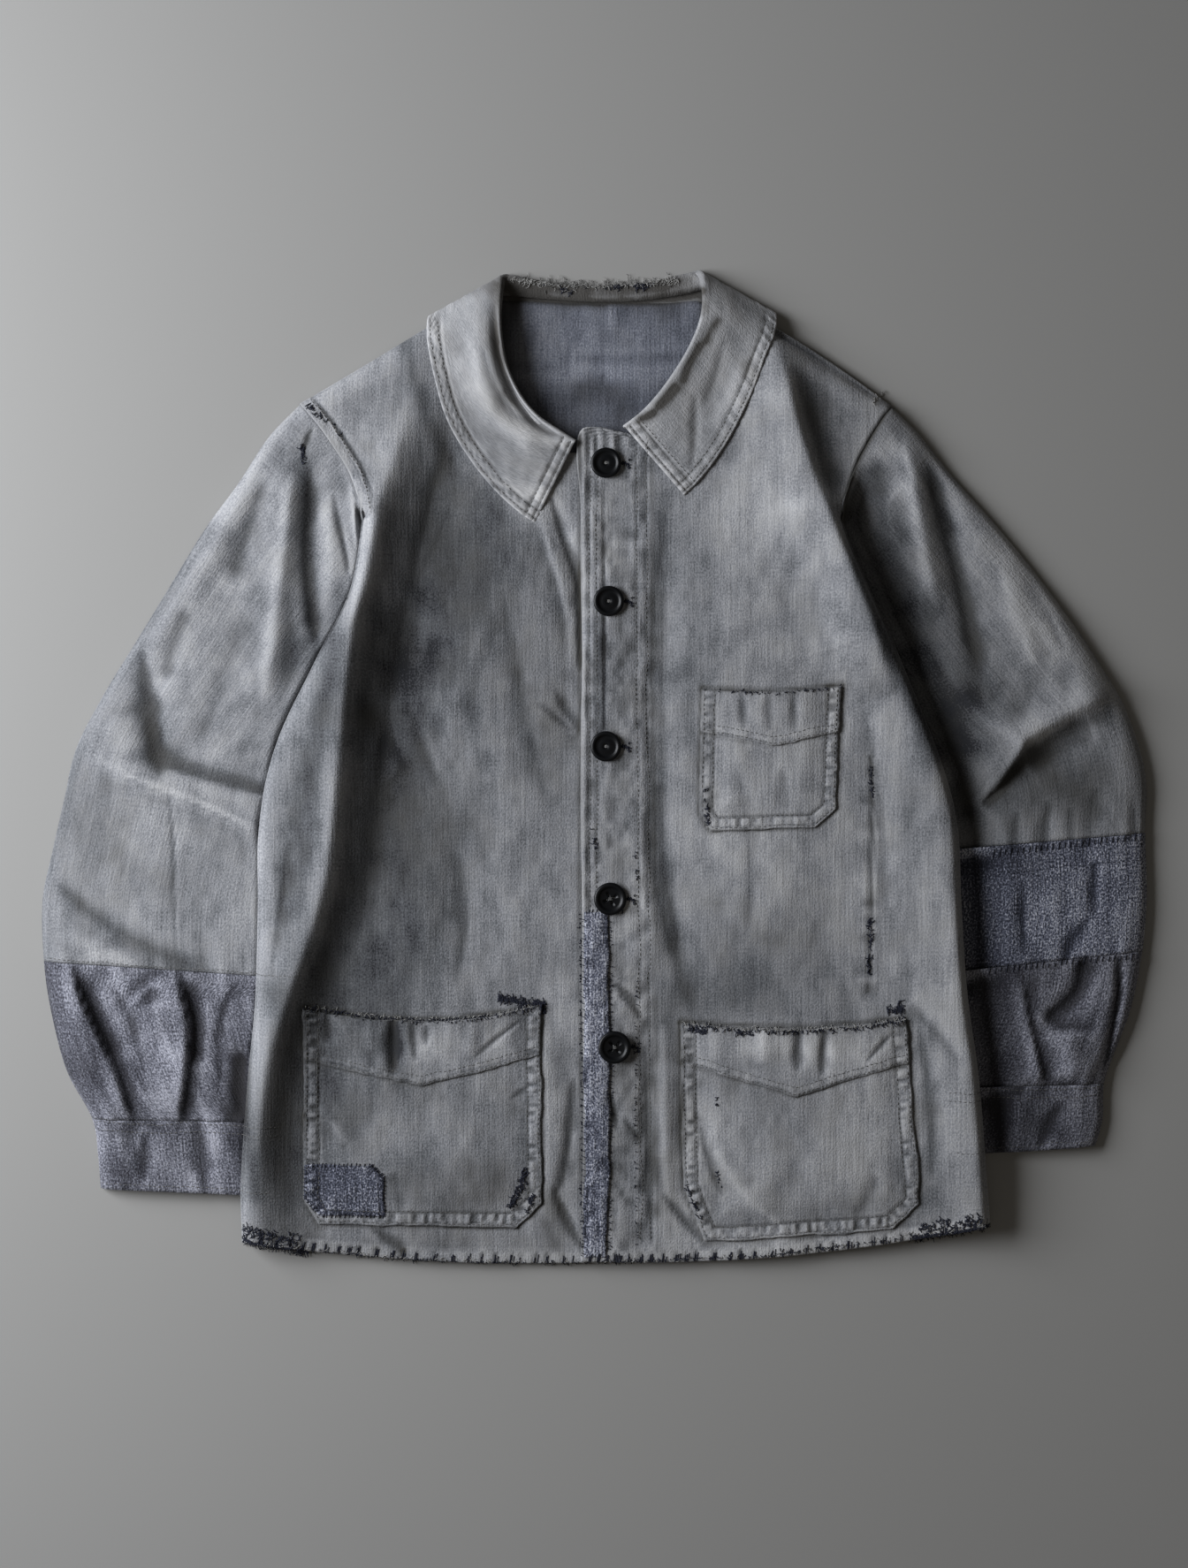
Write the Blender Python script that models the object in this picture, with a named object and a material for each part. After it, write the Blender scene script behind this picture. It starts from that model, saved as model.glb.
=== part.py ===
"""A patched cotton work jacket lying face up on a table, its sleeves beside the body.

Every cut piece of cloth is its own closed wall. The back lies on the table and rises at its sides
over the tucked edges of the sleeves; the fronts lie on the back, the wearer's left one lapping over
the right one at the buttons. Pockets, facings, patch and strip are made from the points of the front
that they lie on. Sides are the wearer's, so the right front is at -X. +Y is towards the neck and the
table is z = 0. Sizes are in millimetres until mesh_from() turns them to metres.
"""
import bmesh
import bpy
import numpy as np
from mathutils import Vector
from mathutils.bvhtree import BVHTree

MM = 0.001
WALL = 1.5            # folded and felled cotton drill of the panels and sleeves
PATCH_WALL = 1.2      # single cloth of the pockets, facings, patch and strip
COLLAR_WALL = 1.8     # two cloths and their turnings
GAP = 0.3             # between neighbouring pieces
SLEEVE_LIFT = 8.5     # how far a side of the body rides up on a tucked sleeve edge
TUCK = 65.0           # how far in from the side that rise fades out
COLLAR_LIFT = 2.6     # the back rides up on the collar's hidden fall
LAP_LIFT = WALL + 0.7 # the left front over the right one
EDGE_ROUND = 14.0     # width of the rounded edges of the body and sleeves
PLACKET_LOFT = 1.2    # air under a front near its buttons
SIDE_LOFT = 4.5       # more of it towards the sides
HEM_LOFT = 0.35       # share of the side's loft that is left at the hem
FLATTEST = 0.4        # least loft of a front above its resting height
HEM_BOW = 15.0        # how far the back's hem bows down between its ends
SLEEVE_EDGE = 3.6     # height of a sleeve's pressed edges: two walls and a little air
UNDER_BODY_GAP = 1.7  # between a tucked sleeve edge and the back over it
ROOF_START = 12.0     # outside the body's side, where a sleeve begins to rise freely
ROOF_SLOPE = 0.5
OPEN_SKY = 30.0       # added to that roof above the underarm, where nothing lies over the sleeve
COLLAR_GAP = 1.3      # between the springy collar and the fronts under it

# A front panel's rows from hem to shoulder: (side x, side y, inner x, inner y, bow of the row)
RIGHT_FRONT = np.array((
    (-245, -333, 24, -347, -7),
    (-246, -290, 24, -295, -3),
    (-241, -218, 24, -225, 0),
    (-236, -165, 24, -165, 0),
    (-234, -100, 24, -100, 0),
    (-233, -40, 24, -40, 0),
    (-221, 16, 24, 20, 0),
    (-193, 76, 24, 80, 0),
    (-169, 125, 24, 130, 0),
    (-161, 177, 22, 190, 0),
    (-164, 191, 18, 221, 0),
    (-171, 208, -22, 221, 0),
    (-181, 224, -45, 238, 0),
    (-190, 237, -64, 262, 0),
    (-198, 247, -76, 296, 0),
    (-205, 255, -84, 327, 0),
), float)
LEFT_FRONT = np.array((
    (277, -321, -8, -347, -9),
    (274, -280, -7, -295, -3),
    (269, -218, -6, -225, 0),
    (261, -160, -7, -165, 0),
    (257, -100, -7, -100, 0),
    (254, -42, -8, -40, 0),
    (241, 8, -8, 20, 0),
    (212, 80, -7, 80, 0),
    (190, 130, -8, 130, 0),
    (174, 172, -8, 180, 0),
    (179, 196, -8, 236, -2),
    (185, 212, 33, 232, 0),
    (191, 224, 56, 254, 1),
    (198, 236, 76, 282, 2),
    (204, 245, 87, 306, 3),
    (210, 252, 92, 325, 5),
), float)
# Across a front, from its side to its inner edge: closer where the side rounds over and folds
FRONT_COLUMNS = (0, 0.008, 0.025, 0.05, 0.09, 0.135, 0.185, 0.24, 0.3, 0.37, 0.46, 0.57, 0.7, 0.83, 0.94, 1)
PANEL_ROWS = 22       # of the fronts and the back, so that their sides match
BACK_COLUMNS = 13
UNDERARM_Y = 175.0
UNDERARM_ROW = 9      # of both fronts' tables
SEAM_CLEARANCE = 0.7  # along X at the slanting armhole seams
# The back's top edge over its width: (share of the width, height over the shoulder tips)
NECK_EDGE = np.array(((0, 0), (0.15, 33), (0.285, 67), (0.33, 74), (0.41, 73), (0.51, 72), (0.62, 73),
                      (0.67, 75), (0.715, 67), (0.86, 33), (1, 0)), float)

# Folds of the body: (height, width left of the spine, width right of it, spine from top to hem)
BODY_FOLDS = (
    (13, 20, 9, ((-124, 285), (-136, 231), (-149, 188), (-161, 138), (-168, 98), (-173, 53), (-179, -10),
                 (-192, -91), (-208, -154), (-222, -225), (-231, -311))),
    (-4, 12, 22, ((-104, 262), (-113, 200), (-130, 140), (-142, 90), (-148, 40), (-156, -40), (-176, -120))),
    (9, 12, 17, ((128, 300), (140, 272), (148, 242), (158, 207), (168, 180), (180, 140), (196, 95))),
    (5, 22, 22, ((196, 60), (222, 0), (236, -70), (240, -160), (248, -260))),
    (-2.5, 9, 9, ((53, 193), (45, 135), (44, 40), (46, -66), (55, -115), (69, -174))),
    (-2.5, 8, 8, ((-34, 172), (-19, 141), (-13, 100), (-12, 20))),
    (3, 16, 20, ((96, 170), (100, 60), (112, -40), (120, -150))),
    (2.5, 18, 18, ((-88, 120), (-90, 20), (-86, -90), (-80, -150))),
)

# Sleeve rows from armhole to cuff end: (outer x, outer y, inner x, inner y, height)
RIGHT_SLEEVE = np.array((
    (-205, 255, -161, 177, 9),
    (-228, 231, -157, 153, 10),
    (-249, 199, -151, 124, 11),
    (-273, 166, -154, 100, 11),
    (-300, 122, -166, 77, 11),
    (-322, 86, -178, 50, 12),
    (-344, 50, -192, 20, 12),
    (-363, 13, -203, -8, 11),
    (-371, -20, -206, -38, 11),
    (-380, -60, -206, -68, 11),
    (-387, -95, -206, -100, 11),
    (-386, -137, -206, -149, 11),
    (-381, -172, -209, -172, 11),
    (-370, -214, -213, -214, 11),
    (-352, -248, -219, -250, 10),
    (-348, -272, -222, -276, 9),
    (-346, -297, -225, -302, 9),
), float)
LEFT_SLEEVE = np.array((
    (210, 252, 174, 172, 9),
    (229, 233, 171, 147, 10),
    (252, 204, 170, 118, 11),
    (278, 175, 184, 90, 11),
    (304, 144, 193, 64, 11),
    (330, 110, 205, 38, 12),
    (354, 75, 216, 12, 12),
    (375, 38, 226, -12, 12),
    (388, -5, 230, -36, 11),
    (388, -47, 231, -60, 11),
    (389, -92, 233, -104, 11),
    (386, -130, 235, -146, 11),
    (378, -170, 239, -176, 11),
    (367, -200, 243, -203, 11),
    (359, -223, 246, -226, 10),
    (358, -248, 249, -252, 9),
    (353, -267, 252, -274, 9),
), float)
# Pieces of each sleeve: (name, first row, last row, steps along it)
RIGHT_SLEEVE_PIECES = (
    ("right_sleeve", 0, 11, 15),
    ("right_sleeve_extension", 11, 14, 6),
    ("right_cuff", 14, 16, 2),
)
LEFT_SLEEVE_PIECES = (
    ("left_sleeve", 0, 9, 13),
    ("left_sleeve_band", 9, 11, 3),
    ("left_sleeve_extension", 11, 14, 5),
    ("left_cuff", 14, 16, 2),
)
# Folds of the sleeves, as the body's
SLEEVE_FOLDS = (
    (-4, 9, 14, ((-200, 225), (-205, 188), (-205, 150), (-202, 115), (-192, 84))),
    (5, 16, 12, ((-213, 205), (-225, 159), (-235, 110), (-241, 60), (-241, 13))),
    (-3, 14, 14, ((-249, 188), (-270, 140), (-297, 79))),
    (4, 14, 12, ((-275, 100), (-292, 40), (-300, 10))),
    (-6, 12, 12, ((-318, 62), (-309, 38), (-307, 10))),
    (6, 8, 22, ((-360, 6), (-335, -6), (-300, -18), (-265, -33), (-225, -52))),
    (-2.5, 12, 12, ((-366, -103), (-331, -112), (-290, -136))),
    (5, 9, 7, ((-368, -150), (-350, -182), (-336, -208), (-326, -244))),
    (5, 8, 8, ((-292, -155), (-284, -180), (-284, -205), (-290, -247))),
    (6, 10, 14, ((221, 236), (231, 197), (240, 156), (252, 118))),
    (-4, 12, 12, ((240, 222), (254, 175), (266, 116), (277, 66))),
    (8, 10, 16, ((362, 52), (327, 40), (298, 22), (270, 6), (246, -4))),
    (-5, 10, 12, ((345, 28), (318, 8), (296, -18))),
    (5, 9, 8, ((299, -150), (302, -185), (309, -206), (316, -220))),
    (4, 8, 8, ((350, -138), (340, -160), (332, -180))),
    (4, 8, 8, ((371, -144), (365, -180), (358, -216))),
)
# Across a flattened sleeve: the top from outer to inner edge, then the bottom back again
TOP_SHARES = (0.03, 0.08, 0.16, 0.26, 0.37, 0.48, 0.59, 0.7, 0.8, 0.89, 0.96)
BOTTOM_SHARES = (0.96, 0.66, 0.34, 0.04)

# Collar sections from the right front round the neck to the left front:
# (roll x, roll y, fall edge x, fall edge y, seam x, seam y, turn in degrees, rise of the roll).
# At turn 0 the fall lies on the front; at 90 it wraps the shoulder; at 180 it lies under the back.
COLLAR = np.array((
    (-12, 229, -41, 171, -19, 225, 0, 3),
    (-23, 236, -54, 180, -30, 231, 0, 4),
    (-38, 246, -71, 196, -45, 240, 0, 6),
    (-50, 260, -89, 219, -56, 255, 0, 8),
    (-59, 279, -103, 244, -66, 274, 0, 9),
    (-63, 299, -111, 271, -73, 293, 0, 9),
    (-64, 318, -116, 296, -77, 312, 0, 7),
    (-63, 335, -117, 310, -79, 323, 30, 4),
    (-62, 344, -114, 315, -78, 330, 90, 0),
    (-57, 346, -110, 310, -71, 332, 150, 0),
    (-43, 343, -74, 295, -56, 331, 180, 0),
    (-18, 339, -30, 290, -20, 328, 180, 0),
    (8, 338, 8, 288, 8, 327, 180, 0),
    (34, 340, 44, 290, 34, 328, 180, 0),
    (57, 345, 86, 297, 62, 332, 180, 0),
    (69, 348, 122, 313, 80, 336, 150, 0),
    (74, 347, 127, 317, 87, 334, 90, 0),
    (76, 337, 129, 311, 88, 328, 30, 3),
    (76, 322, 126, 299, 86, 317, 0, 4),
    (73, 308, 120, 286, 81, 303, 0, 5),
    (66, 292, 112, 264, 74, 287, 0, 5),
    (57, 277, 101, 240, 65, 272, 0, 5),
    (46, 262, 88, 218, 54, 257, 0, 4),
    (34, 249, 75, 201, 42, 245, 0, 3),
    (21, 239, 64, 190, 32, 238, 0, 2),
), float)
ROLL_RADIUS = 2.6
ROLL_DEPTH = 1.6      # from the roll's crest to where its two sides run level
SHOULDER_HEIGHT = 5.0 # of the collar where it wraps over the shoulder line
CREST_LIFT = 1.0      # more air under the roll than under the fall
FALL_SHARES = (0.12, 0.3, 0.55, 0.8, 1.0)

# Outlines on the fronts, as corners: the chest pocket, the hip pockets and what is sewn on them
CHEST_POCKET = ((76, 54), (125, 52), (174, 56), (170, -30), (156, -43), (82, -45), (74, -33))
CHEST_FACING = ((76, 54), (125, 52), (174, 56), (173, 24), (126, 14), (75, 24))
RIGHT_POCKET = ((-202, -169), (-133, -179), (-37, -168), (-36, -307), (-53, -324), (-193, -322), (-203, -303))
RIGHT_FACING = ((-202, -169), (-133, -179), (-37, -168), (-38, -203), (-125, -225), (-202, -206))
LEFT_POCKET = ((61, -180), (140, -183), (219, -177), (229, -306), (210, -325), (78, -334), (63, -295))
LEFT_FACING = ((61, -180), (140, -183), (219, -177), (221, -208), (140, -231), (61, -208))
POCKET_PATCH = ((-202, -279), (-156, -279), (-147, -287), (-147, -316), (-191, -316), (-202, -303))
EDGE_STRIP = ((-6, -103), (11, -103), (12, -225), (10, -345), (-6, -345))

# Buttons from neck to hem: (x, y, diameter, raised on the edge strip)
BUTTONS = (
    (9, 213, 21.5, False),
    (11, 116, 21.5, False),
    (9, 14, 21.5, False),
    (12, -93, 23.0, True),
    (15, -197, 23.0, True),
)
# A turned button's half section: (share of the radius, height)
BUTTON_PROFILE = ((1.0, 0.9), (1.0, 1.9), (0.9, 2.9), (0.76, 3.1), (0.62, 2.3), (0.0, 2.1))
BUTTON_SIDES = 20

CHAMBRAY = (0.16, 0.17, 0.19)
COLLAR_GREY = (0.22, 0.22, 0.22)
MARLED_SLATE = (0.09, 0.095, 0.12)
NAVY_MARL = (0.06, 0.065, 0.10)
BLACK_HORN = (0.006, 0.006, 0.007)


def ramp(value, start, end):
    """0 up to start and 1 from end on, smooth between them; end may be below start."""
    share = np.clip((value - start) / (end - start), 0, 1)
    return share * share * (3 - 2 * share)


def rounded(distance, width):
    """Quarter of an ellipse: 0 at an edge, 1 from width inwards."""
    share = np.clip(distance / width, 0, 1)
    return np.sqrt(1 - (1 - share) ** 2)


def read_rows(rows, place):
    """A table's columns read smoothly at place, counted in rows (Catmull-Rom)."""
    last = len(rows) - 1
    place = np.clip(np.asarray(place, float), 0, last)
    at = np.minimum(place.astype(int), last - 1)
    share = (place - at)[..., None]
    before, here = rows[np.maximum(at - 1, 0)], rows[at]
    after, beyond = rows[at + 1], rows[np.minimum(at + 2, last)]
    bend = 2 * before - 5 * here + 4 * after - beyond + share * (3 * (here - after) + beyond - before)
    return here + 0.5 * share * (after - before + share * bend)


def fold_height(folds, x, y):
    """Height that the folds add at each point: a ridge, or a trough where a height is negative."""
    total = np.zeros(np.shape(x))
    point = np.stack([x, y], -1)
    for height, left, right, spine in folds:
        line = read_rows(np.array(spine, float), np.linspace(0, len(spine) - 1, 3 * len(spine)))
        nearest = np.full(np.shape(x), np.inf)
        side = np.zeros(np.shape(x))
        along = np.zeros(np.shape(x))
        for number, (start, end) in enumerate(zip(line[:-1], line[1:])):
            run = end - start
            share = np.clip((point - start) @ run / (run @ run), 0, 1)
            offset = point - start - share[..., None] * run
            distance = np.hypot(offset[..., 0], offset[..., 1])
            closer = distance < nearest
            nearest = np.where(closer, distance, nearest)
            cross = run[0] * offset[..., 1] - run[1] * offset[..., 0]
            side = np.where(closer, cross, side)
            along = np.where(closer, (number + share) / (len(line) - 1), along)
        width = np.where(side < 0, left, right)       # spines run down, so their right is at -X
        taper = ramp(along, -0.02, 0.18) * ramp(along, 1.02, 0.8)
        total = total + height * taper * np.exp(-(nearest / width) ** 1.7)
    return total


def side_depth(rows, x, y):
    """How far a point lies inside the side edge of a front's rows, negative outside."""
    inward = np.sign(rows[0, 2] - rows[0, 0])
    return inward * (x - np.interp(y, rows[:, 1], rows[:, 0]))


def back_underside(x, y):
    """Height of the back's lower face: on the table, raised over the sleeves and the collar's fall."""
    below_arm = ramp(y, UNDERARM_Y + 33, UNDERARM_Y + 3)
    height = COLLAR_LIFT * ramp(y, 250, 284) * ramp(np.abs(x - 5), 165, 122)
    for rows in (RIGHT_FRONT, LEFT_FRONT):
        height = height + SLEEVE_LIFT * below_arm * ramp(side_depth(rows, x, y), TUCK, 0)
    return height


def shoulder_depth(x, y):
    """How far a point lies below the shoulder line, on either side of the neck."""
    depth = np.full(np.shape(x), np.inf)
    for rows in (RIGHT_FRONT, LEFT_FRONT):
        tip, neck = rows[-1, :2], rows[-1, 2:4]
        run = neck - tip
        down = np.abs((x - tip[0]) * run[1] - (y - tip[1]) * run[0]) / np.hypot(*run)
        above = (y - tip[1]) > (x - tip[0]) * run[1] / run[0]
        own_side = np.sign(x - 5) == np.sign(tip[0])
        depth = np.where(own_side, np.where(above, 0, down), depth)
    return depth


def front_top(x, y, lap=0.0):
    """Height of a front's upper face, with its loft, folds and rounded edges."""
    at_side = np.where(x < 0, side_depth(RIGHT_FRONT, x, y), side_depth(LEFT_FRONT, x, y))
    at_side = at_side + 100 * ramp(y, UNDERARM_Y - 2, UNDERARM_Y + 28)
    edge = rounded(at_side, EDGE_ROUND) * rounded(shoulder_depth(x, y), EDGE_ROUND)
    fullness = HEM_LOFT + (1 - HEM_LOFT) * ramp(y, -345, -270)
    loft = PLACKET_LOFT + SIDE_LOFT * ramp(np.abs(x), 40, 150) * fullness
    loft = np.maximum(loft + fold_height(BODY_FOLDS, x, y) * ramp(y, -352, -310), FLATTEST)
    return back_underside(x, y) + 2 * WALL + GAP + lap + edge * loft


def mesh_from(name, build, colour, roughness=0.9, wall=0.0):
    """A named object from a bmesh in millimetres; a wall thickens an open sheet inwards."""
    bmesh.ops.scale(build, vec=(MM, MM, MM), verts=build.verts)
    data = bpy.data.meshes.new(name)
    build.to_mesh(data)
    build.free()
    part = bpy.data.objects.new(name, data)
    bpy.context.scene.collection.objects.link(part)
    finish = bpy.data.materials.new(name)
    finish.use_nodes = True
    shader = finish.node_tree.nodes["Principled BSDF"]
    shader.inputs["Base Color"].default_value = (*colour, 1)
    shader.inputs["Roughness"].default_value = roughness
    data.materials.append(finish)
    if wall:
        thick = part.modifiers.new("wall", "SOLIDIFY")
        thick.thickness = wall * MM
        thick.offset = -1
    return part


def sheet(points):
    """An open grid sheet, facing up, from an array of rows, columns and xyz."""
    rows, columns = points.shape[:2]
    build = bmesh.new()
    bmesh.ops.create_grid(build, x_segments=columns - 1, y_segments=rows - 1, size=1)
    order = sorted(build.verts, key=lambda vert: (round(vert.co.y, 5), round(vert.co.x, 5)))
    for vert, place in zip(order, points.reshape(-1, 3)):
        vert.co = place
    build.normal_update()
    if sum(face.normal.z for face in build.faces) < 0:
        bmesh.ops.reverse_faces(build, faces=build.faces)
    bmesh.ops.triangulate(build, faces=build.faces)
    return build


def front_points(rows, lap):
    """A front's upper face as rows of points, from its side to its inner edge."""
    table = read_rows(rows, np.linspace(0, len(rows) - 1, PANEL_ROWS))
    share = np.array(FRONT_COLUMNS)[None, :, None]
    plan = table[:, None, :2] * (1 - share) + table[:, None, 2:4] * share
    plan[..., 1] += table[:, 4:5] * 4 * share[..., 0] * (1 - share[..., 0])
    x, y = plan[..., 0], plan[..., 1]
    return np.stack([x, y, front_top(x, y, lap)], -1)


def back_points():
    """The back's upper face, from hem to shoulders and neck, inside the fronts' sides."""
    place = np.linspace(0, len(RIGHT_FRONT) - 1, PANEL_ROWS)
    right, left = read_rows(RIGHT_FRONT, place), read_rows(LEFT_FRONT, place)
    share = 0.5 - 0.5 * np.cos(np.linspace(0, np.pi, BACK_COLUMNS))
    share = 0.6 * share + 0.4 * np.linspace(0, 1, BACK_COLUMNS)
    x = right[:, :1] * (1 - share) + left[:, :1] * share
    y = right[:, 1:2] * (1 - share) + left[:, 1:2] * share
    hem_bow = -HEM_BOW * 4 * share * (1 - share) * ramp(place, 1, 0)[:, None]
    rise = ramp(place, 7.5, len(RIGHT_FRONT) - 1)[:, None] * np.interp(share, NECK_EDGE[:, 0], NECK_EDGE[:, 1])
    y = y + hem_bow + rise
    return np.stack([x, y, back_underside(x, y) + WALL], -1)


def sleeve_rings(rows, start, end, steps):
    """Outer and inner rings of a flattened sleeve between two of its rows."""
    table = read_rows(rows, np.linspace(start, end, steps + 1))
    along = np.linspace(start, end, steps + 1)[:, None]
    down = (table[-1, :4] - table[0, :4]).reshape(2, 2).mean(0)
    nudge = np.tile(down / np.hypot(*down) * GAP / 2, 2)
    if start > 0:
        table[0, :4] += nudge
    if end < len(rows) - 1:
        table[-1, :4] -= nudge
    front = RIGHT_FRONT if rows[0, 0] < 0 else LEFT_FRONT
    lap = 0.0 if rows[0, 0] < 0 else LAP_LIFT
    outer_edge, inner_edge = table[:, None, :2], table[:, None, 2:4]
    width = np.hypot(*(table[:, 2:4] - table[:, :2]).T)[:, None]

    def place(shares, inset):
        """Plan points across each row; the first rows bend to follow the armhole."""
        share = (inset + np.array(shares)[None, :] * (width - 2 * inset)) / width
        plan = outer_edge + (inner_edge - outer_edge) * share[..., None]
        seam = read_rows(front, len(front) - 1 - share * (len(front) - 1 - UNDERARM_ROW))[..., :2]
        chord = rows[0, :2] + (rows[0, 2:4] - rows[0, :2]) * share[..., None]
        bend = (seam - chord) * (1 - ramp(along, 0, 2.2))[..., None]
        bend[..., 0] += np.sign(rows[0, 0]) * SEAM_CLEARANCE * (along == 0)
        return plan + bend, share

    plan, share = place(TOP_SHARES, 0)
    x, y = plan[..., 0], plan[..., 1]
    edge = rounded(share * width, EDGE_ROUND) * rounded((1 - share) * width, EDGE_ROUND)
    fullness = table[:, 4:5] - SLEEVE_EDGE + fold_height(SLEEVE_FOLDS, x, y)
    own = SLEEVE_EDGE + edge * np.maximum(fullness, FLATTEST)
    if start == 0:
        at_seam = ramp(along, 0, 1.6)
        own = own * at_seam + front_top(x[:1], y[:1], lap) * (1 - at_seam)
    depth = side_depth(front, x, y)
    roof = back_underside(x, y) - UNDER_BODY_GAP + ROOF_SLOPE * np.maximum(-ROOF_START - depth, 0)
    roof = roof + OPEN_SKY * ramp(y, UNDERARM_Y + 13, UNDERARM_Y + 27)
    top = np.maximum(np.minimum(own, roof), SLEEVE_EDGE)
    rings = []
    for inset, upper, lower, side in ((0, top, 0.0, 2.0), (WALL, np.maximum(top - WALL, WALL + 0.5), WALL, 1.8)):
        top_plan, _ = place(TOP_SHARES, inset)
        side_plan, _ = place((0, 1), inset)
        bottom_plan, _ = place(BOTTOM_SHARES, inset)
        flat = np.full(bottom_plan.shape[:2] + (1,), lower)
        edge_height = np.full(side_plan.shape[:2] + (1,), side)
        sides = np.concatenate([side_plan, edge_height], -1)
        rings.append(np.concatenate([
            sides[:, :1],
            np.concatenate([top_plan, upper[..., None]], -1),
            sides[:, 1:],
            np.concatenate([bottom_plan, flat], -1),
        ], 1))
    return rings


def tube(outer, inner):
    """A closed wall between an outer and an inner sleeve of rings, open at both ends."""
    build = bmesh.new()
    skins = [[[build.verts.new(point) for point in ring] for ring in rings] for rings in (outer, inner)]
    count = outer.shape[1]
    for turned, skin in enumerate(skins):
        for near, far in zip(skin[:-1], skin[1:]):
            for step in range(count):
                after = (step + 1) % count
                corners = [near[step], near[after], far[after], far[step]]
                build.faces.new(corners[::-1] if turned else corners)
    for end in (0, -1):
        for step in range(count):
            after = (step + 1) % count
            outside, inside = skins[0][end], skins[1][end]
            build.faces.new((outside[step], inside[step], inside[after], outside[after]))
    bmesh.ops.recalc_face_normals(build, faces=build.faces)
    return build


def inside(outline, point):
    """Whether a plan point lies within an outline, by counting crossings."""
    crossings = 0
    for (ax, ay), (bx, by) in zip(outline, outline[1:] + outline[:1]):
        if (ay > point.y) != (by > point.y):
            crossings += point.x < ax + (point.y - ay) * (bx - ax) / (by - ay)
    return crossings % 2 == 1


def lie_on(points, outline, height, wall=PATCH_WALL):
    """A cloth patch made from a panel's own points: cut to an outline and moved out by height."""
    build = sheet(points)
    low, high = np.min(outline, 0), np.max(outline, 0)
    for corner, normal in ((low, (-1, 0, 0)), (low, (0, -1, 0)), (high, (1, 0, 0)), (high, (0, 1, 0))):
        everything = build.verts[:] + build.edges[:] + build.faces[:]
        bmesh.ops.bisect_plane(build, geom=everything, dist=0.01, plane_co=(*corner, 0), plane_no=normal,
                               clear_outer=True)
    for start, end in zip(outline, outline[1:] + outline[:1]):
        run = Vector(end) - Vector(start)
        everything = build.verts[:] + build.edges[:] + build.faces[:]
        bmesh.ops.bisect_plane(build, geom=everything, dist=0.01, plane_co=(*start, 0),
                               plane_no=(run.y, -run.x, 0))
    stray = [face for face in build.faces if not inside(outline, face.calc_center_median())]
    bmesh.ops.delete(build, geom=stray, context="FACES")
    bmesh.ops.remove_doubles(build, verts=build.verts, dist=0.05)
    bmesh.ops.triangulate(build, faces=build.faces)
    raised = bmesh.ops.extrude_face_region(build, geom=build.faces[:], use_keep_orig=True)
    moved = [item for item in raised["geom"] if isinstance(item, bmesh.types.BMVert)]
    fixed = [vert for vert in build.verts if vert not in set(moved)]
    bmesh.ops.translate(build, vec=(0, 0, height), verts=fixed)
    bmesh.ops.translate(build, vec=(0, 0, height + wall), verts=moved)
    bmesh.ops.recalc_face_normals(build, faces=build.faces)
    return build


def collar_points():
    """The collar's outer face: hairpin sections from the neck seam over the roll to the fall's edge."""
    sections = []
    for roll_x, roll_y, edge_x, edge_y, seam_x, seam_y, turn, rise in COLLAR:
        roll, edge, seam = (np.array(pair) for pair in ((roll_x, roll_y), (edge_x, edge_y), (seam_x, seam_y)))
        lap = LAP_LIFT if roll_x > 0 else 0.0
        angle = np.radians(turn)
        run = edge - roll
        run = run / np.hypot(*run)
        outward = np.array((-run[1], run[0]))
        outward = outward * np.sign(outward[1]) if abs(outward[1]) > 0.01 else outward
        normal = np.array((*(np.sin(angle) * outward), np.cos(angle)))
        front_share = ramp(float(turn), 90, 30)
        under_share = ramp(float(turn), 90, 150)
        wrapped = SHOULDER_HEIGHT * (1 - front_share) * (1 - under_share)

        def surface(place):
            """Height of what the fall lies on: the front, or the table under the back."""
            x, y = np.array(place[0]), np.array(place[1])
            return float(front_top(x, y, lap)) * front_share + wrapped

        middle = surface(roll) + rise * front_share + ROLL_RADIUS * under_share
        middle += (COLLAR_GAP + COLLAR_WALL - ROLL_RADIUS + CREST_LIFT) * front_share
        centre = np.array((*roll, middle))
        inward = np.array((*run, 0)) * ROLL_DEPTH
        seam_height = (surface(seam) - WALL) * front_share + wrapped
        seam_height += (back_underside(*seam) + WALL) * under_share
        section = [
            np.array((*seam, seam_height)),
            centre + inward - normal * ROLL_RADIUS,
            centre,
            centre + inward + normal * ROLL_RADIUS,
        ]
        for share in FALL_SHARES:
            place = roll + (edge - roll) * share
            resting = np.array((*place, surface(place) + (COLLAR_GAP + COLLAR_WALL) * front_share))
            rolled = np.array((*place, (centre + normal * ROLL_RADIUS)[2]))
            near = (1 - share) ** 2.2 * front_share
            section.append(resting * (1 - near) + rolled * near
                           + np.array((*normal[:2], 0)) * ROLL_RADIUS * (1 - front_share) * (1 - under_share))
        sections.append(section)
    return np.array(sections)


def button(x, y, diameter, base):
    """A turned button with a rim and a dished middle, standing on its back's narrower foot."""
    build = bmesh.new()
    radius = diameter / 2
    foot = ((0.0, 0.0), (0.7, 0.0)) + BUTTON_PROFILE
    path = [build.verts.new((share * radius, 0, height)) for share, height in foot]
    edges = [build.edges.new(pair) for pair in zip(path[:-1], path[1:])]
    bmesh.ops.spin(build, geom=path + edges, cent=(0, 0, 0), axis=(0, 0, 1), angle=2 * np.pi,
                   steps=BUTTON_SIDES, use_merge=True)
    bmesh.ops.remove_doubles(build, verts=build.verts, dist=0.01)
    bmesh.ops.recalc_face_normals(build, faces=build.faces)
    bmesh.ops.translate(build, vec=(x, y, base), verts=build.verts)
    return build


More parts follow.
